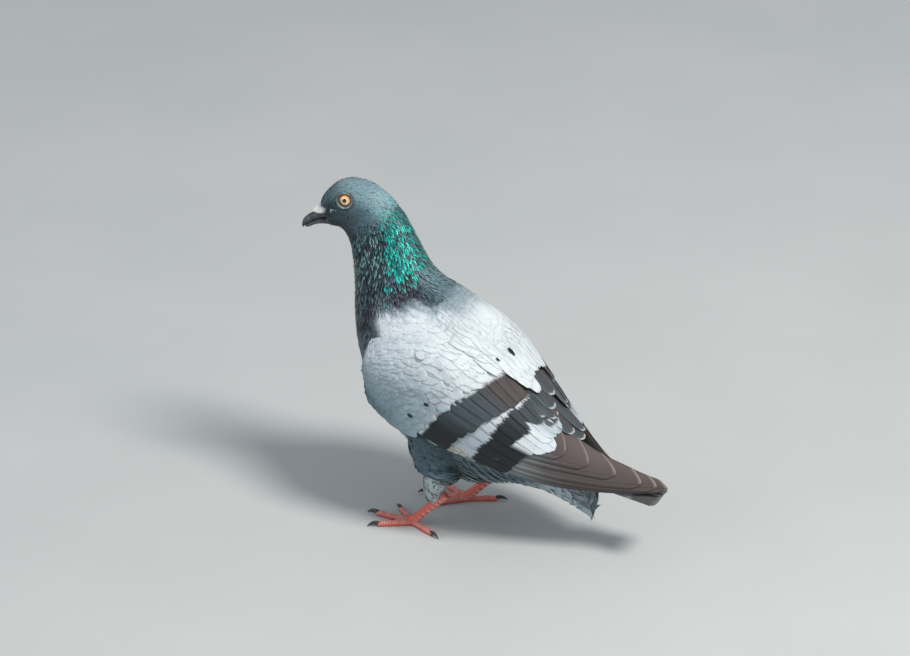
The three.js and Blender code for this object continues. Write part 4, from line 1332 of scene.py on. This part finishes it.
def eye_material():
    m, tree, bsdf = material("eye_amber")
    grain = noise(tree, object_place(tree), 2600.0, 3.0)
    fill(tree, bsdf, {
        "Base Color": scaled(tree, stored_tone(tree), maths(tree, "MULTIPLY_ADD", grain, 0.5, 0.75)),
        "Roughness": maths(tree, "MULTIPLY_ADD", grain, 0.1, 0.1),
        "Coat Weight": 1.0, "Coat Roughness": 0.02})
    return m


amber = eye_material()
flesh = mottled("eye_ring_flesh", None, None, 1800.0, roughness=0.6, relief=0.6)
PUPIL, IRIS = 1.35, 3.4
for side in ("left", "right"):
    at, way, up, fore = ring_frame(side)
    # eyeball: rings round the axis
    polar = np.concatenate([np.linspace(0.002, 0.75, 44), np.linspace(0.8, math.pi - 0.01, 22)])
    angle = full_turn(48)
    spin = fore[None] * np.cos(angle)[:, None] + up[None] * np.sin(angle)[:, None]
    radius = EYE_RADIUS * (1 + 0.035 * hill(polar, 0, 0.42))  # a little fuller over the cornea
    cos_polar, sin_polar = np.cos(polar)[:, None, None], np.sin(polar)[:, None, None]
    ball = at + radius[:, None, None] * (cos_polar * way + sin_polar * spin[None])
    far = EYE_RADIUS * np.sin(polar) + np.where(polar > 1.57, 100, 0)  # the back counts as beyond the iris
    rays = 0.5 + 0.5 * np.sin(angle * 23)[None] * np.sin(angle * 9 + 1)[None]
    reach = far[:, None] + 0 * angle[None]
    tone = paint(
        plain(IRIS_IN, reach), (IRIS_OUT, smooth(reach + 0.3 * rays, 2.1, 3.2)),
        (IRIS_RED, smooth(reach, 3.0, 3.45)), (PUPIL_BLACK, 1 - smooth(reach, PUPIL - 0.12, PUPIL + 0.08)),
        (IRIS_RIM, smooth(reach, IRIS, IRIS + 0.25)))
    rolled("eyeball_" + side, ball, amber, "eye_amber", "eye_" + side, tone)
    # lids: a ring of bare, finely wrinkled skin that runs from the eyeball out to the head
    gu, ga = np.meshgrid(np.linspace(0.4, 3.6, 90), np.radians(np.linspace(35, 130, 90)), indexing="ij")
    skull = (body(gu, ga if side == "left" else -ga) - at).reshape(-1, 3)
    flat = tree_of([(d @ fore, d @ up, 0) for d in skull])
    steps_out = np.linspace(0, 1, 19)
    turn_angle = full_turn(96)
    c, sn = np.cos(turn_angle), np.sin(turn_angle)
    inner = IRIS + 0.25 + 0.2 * np.abs(c) ** 3
    outer = 5.5 + 0.5 * np.maximum(c, 0) ** 2 + 0.1 * sn - 0.2 * np.maximum(-c, 0)
    ground = np.array([skull[flat.find((x * r, y * r, 0))[1]] @ way for x, y, r in zip(c, sn, outer)])
    shelf = np.sqrt(EYE_RADIUS**2 - inner**2)
    lids = np.zeros((len(steps_out), len(turn_angle), 3))
    lid_tone = np.zeros_like(lids)
    for i, q in enumerate(steps_out):
        r = lerp(inner, outer, max(0.0, (q - 0.12) / 0.88))
        fine = 0.05 * np.sin(turn_angle * 29 + 2 * np.sin(q * 9)) * np.sin(np.pi * q)
        fold = 0.13 * math.sin(q * 3 * np.pi) * math.sin(np.pi * q)
        rim = 0.3 * math.exp(-(((q - 0.2) / 0.13) ** 2))
        height = lerp(shelf + 0.3, ground + 0.15, float(smooth(q, 0.1, 1.0))) + rim + fine + fold
        if i == 0:
            height = shelf - 0.3
        if i == len(steps_out) - 1:
            height = ground - 0.8
        lids[i] = at + fore * (c * r)[:, None] + up * (sn * r)[:, None] + way * height[:, None]
        grain = 0.5 + 0.25 * np.sin(turn_angle * 23 + q * 7) + 0.25 * np.sin(turn_angle * 9 + 2 + q * 4)
        # Greyer on the side towards the bill and in three broad patches round the ring.
        grey_share = 0.6 * smooth(c, 0.2, 0.9) + 0.35 * smooth(np.sin(turn_angle * 3 + 0.6), 0.2, 0.9)
        tint = mix(LID_PALE, LID_GREY, np.clip(0.6 * grain + grey_share, 0, 1))
        # Dark at the rim by the eyeball; darker again towards the outer edge, a painted shade where the ring
        # runs in under the feathers.
        lid_tone[i] = paint(LID_DARK, (tint, smooth(q, 0.24, 0.44)), (LID_DARK, smooth(q, 0.8, 0.98) * 0.85))
    rolled("eyelids_" + side, lids, flesh, "cere_skin", "eye_ring_" + side, lid_tone)

# ---- Bill and cere -----------------------------------------------


def bill_piece(name, rows, grow, solid):
    t = 1 - (1 - np.linspace(0, 1, 40)) ** 1.25
    angle = full_turn(40)
    p = profile(rows, t[:, None] + 0 * angle, angle[None] + 0 * t[:, None], grow)
    p = turn_head(np.concatenate([shrunk(p[0], 0.05), p, shrunk(p[-1], 0.4), shrunk(p[-1], 0.05)]), 1.0)
    rolled(name, p, horn, "bill_horn", solid)


horn = mottled("bill_horn", "#25282c", "#4d545b", 380.0, roughness=0.42, relief=0.25, coat=0.15)
bill_piece("upper_bill", BILL_UPPER, 0.3, "bill_upper")
bill_piece("lower_bill", BILL_LOWER, 0.45, "bill_lower")

lobes, faces = [], grid_faces(24, 32, wrap=True)
for side in (-1, 1):
    polar = np.linspace(0.01, math.pi - 0.01, 24)[:, None]
    angle = full_turn(32)[None]
    sides = np.sin(polar)
    q = np.stack([sides * np.cos(angle), np.cos(polar) + 0 * angle, sides * np.sin(angle)], -1)
    q = q * (1 + 0.04 * np.sin(5 * q[..., :1] + 3 * q[..., 1:2] * 4))
    q[..., [0, 2]] *= (0.6 + 0.4 * smooth(q[..., 1:2], -1.0, 0.3))  # narrower in front
    q = q * np.array(CERE_RADII)
    c, s = math.cos(CERE_TILT), math.sin(CERE_TILT)
    q = np.stack([q[..., 0], q[..., 1] * c - q[..., 2] * s, q[..., 1] * s + q[..., 2] * c], -1)
    q = q + np.array([side * CERE_AT[0], CERE_AT[1], CERE_AT[2]])
    lobes.append(turn_head(q, 1.0).reshape(-1, 3))
cere = mesh_object("cere_lobes", np.vstack(lobes), np.vstack([faces, faces + 24 * 32]))
dress(cere, mottled("cere_skin", "#f3efe6", "#ffffff", 900.0, roughness=0.8, relief=0.6, subsurface=0.25),
      "cere_skin", "cere")

# ---- Legs and feet -----------------------------------------------


def scaled_limb(name, knots, squash, scutes, solid, mirror):
    """A scaly limb: overlapping scutes on top, small round scales elsewhere. scutes: how many, and the
    side they are on."""
    limb = limb_of(np.array(knots, float), squash)
    ff, aa = np.meshgrid(np.linspace(0, 1, 90), full_turn(28), indexing="ij")
    r = along(np.array(knots, float), ff)[..., 3]
    top = np.clip(np.sin(aa) * scutes[1], 0, 1) ** 0.5
    phase = (ff * scutes[0]) % 1.0
    plate = 0.16 * phase * top * np.minimum(r / 2, 1)
    pebble = 0.05 * np.sin(ff * scutes[0] * 12.6) * np.sin(aa * 9) * (1 - top)
    p = limb(ff, aa, plate + pebble)
    p = np.concatenate([shrunk(p[0], 0.04), p, *(shrunk(p[-1], q) for q in (0.75, 0.35, 0.04))])
    edge = 1 - smooth(phase, 0.0, 0.18) * (1 - smooth(phase, 0.86, 1.0))
    tone = paint(plain(LEG_RED, ff), (LEG_PALE, top * smooth(phase, 0.3, 0.8) * 0.8),
                 (LEG_DARK, edge * top * 0.7))
    tone = np.concatenate([tone[:1], tone, tone[-1:], tone[-1:], tone[-1:]])
    p[..., 2] = np.maximum(p[..., 2], FLOOR)
    if mirror:
        p = mirrored(p, RIGHT_BACK)
    rolled(name, p, leg_skin, "leg_skin", solid, tone, flip=not mirror)


leg_skin = mottled("leg_skin", None, None, 1500.0, roughness=0.55, relief=0.5, coat=0.05)
claw_horn = mottled("claw_horn", "#2a2523", "#4a423d", 700.0, roughness=0.4, relief=0.2, coat=0.2)


def ahead(heading, reach, height):
    h = math.radians(heading)
    return [FOOT[0] + math.sin(h) * reach, FOOT[1] - math.cos(h) * reach, FLOOR + height]


for side, mirror in (("left", False), ("right", True)):
    tarsus = [
        [ANKLE[0], ANKLE[1] + 1.6, ANKLE[2] + 1.4, 2.3],
        [ANKLE[0], ANKLE[1] - 0.8, ANKLE[2] - 0.8, 3.1],
        [*lerp(ANKLE, FOOT, 0.4), 2.7],
        [FOOT[0], lerp(ANKLE[1], FOOT[1], 0.82), lerp(ANKLE[2], FOOT[2], 0.82), 2.9],
        [FOOT[0], FOOT[1] - 0.5, FOOT[2] - 0.2, 3.2],
        [FOOT[0], FOOT[1] - 2.8, FOOT[2] - 0.9, 2.5],
    ]
    scaled_limb("shank_" + side, tarsus, 0.9, (15, -1), "tarsus_" + side, mirror)
    for name, heading, length, claw, radius, joints in TOES:
        count = 2 * joints + 1
        knots = []
        for i in range(count + 1):
            r = radius * lerp(1.1, 0.78, i / count) * (0.9 if i % 2 else 1.08)
            knots.append([*ahead(heading, lerp(0.4, length, i / count), r * 0.86), r])
        solid = name + "_" + side
        scaled_limb(name + "_scales_" + side, knots, 1.0, (int(length * 0.8), 1), solid, mirror)
        root = radius * 0.72
        knots = np.array([
            [*ahead(heading, length - 1.0, root + 0.6), root],
            [*ahead(heading, length + 0.3 * claw, root + 1.0), root * 0.9],
            [*ahead(heading, length + 0.7 * claw, root + 0.4), root * 0.55],
            [*ahead(heading, length + claw, 0.45), 0.25],
        ])
        points, quads = tube(limb_of(knots, 0.8), np.linspace(0, 1, 20), 16)
        if mirror:
            points = mirrored(points, RIGHT_BACK)
        dress(mesh_object("claw_horn_" + solid, points, quads), claw_horn, "claw_horn", "claw_" + solid)
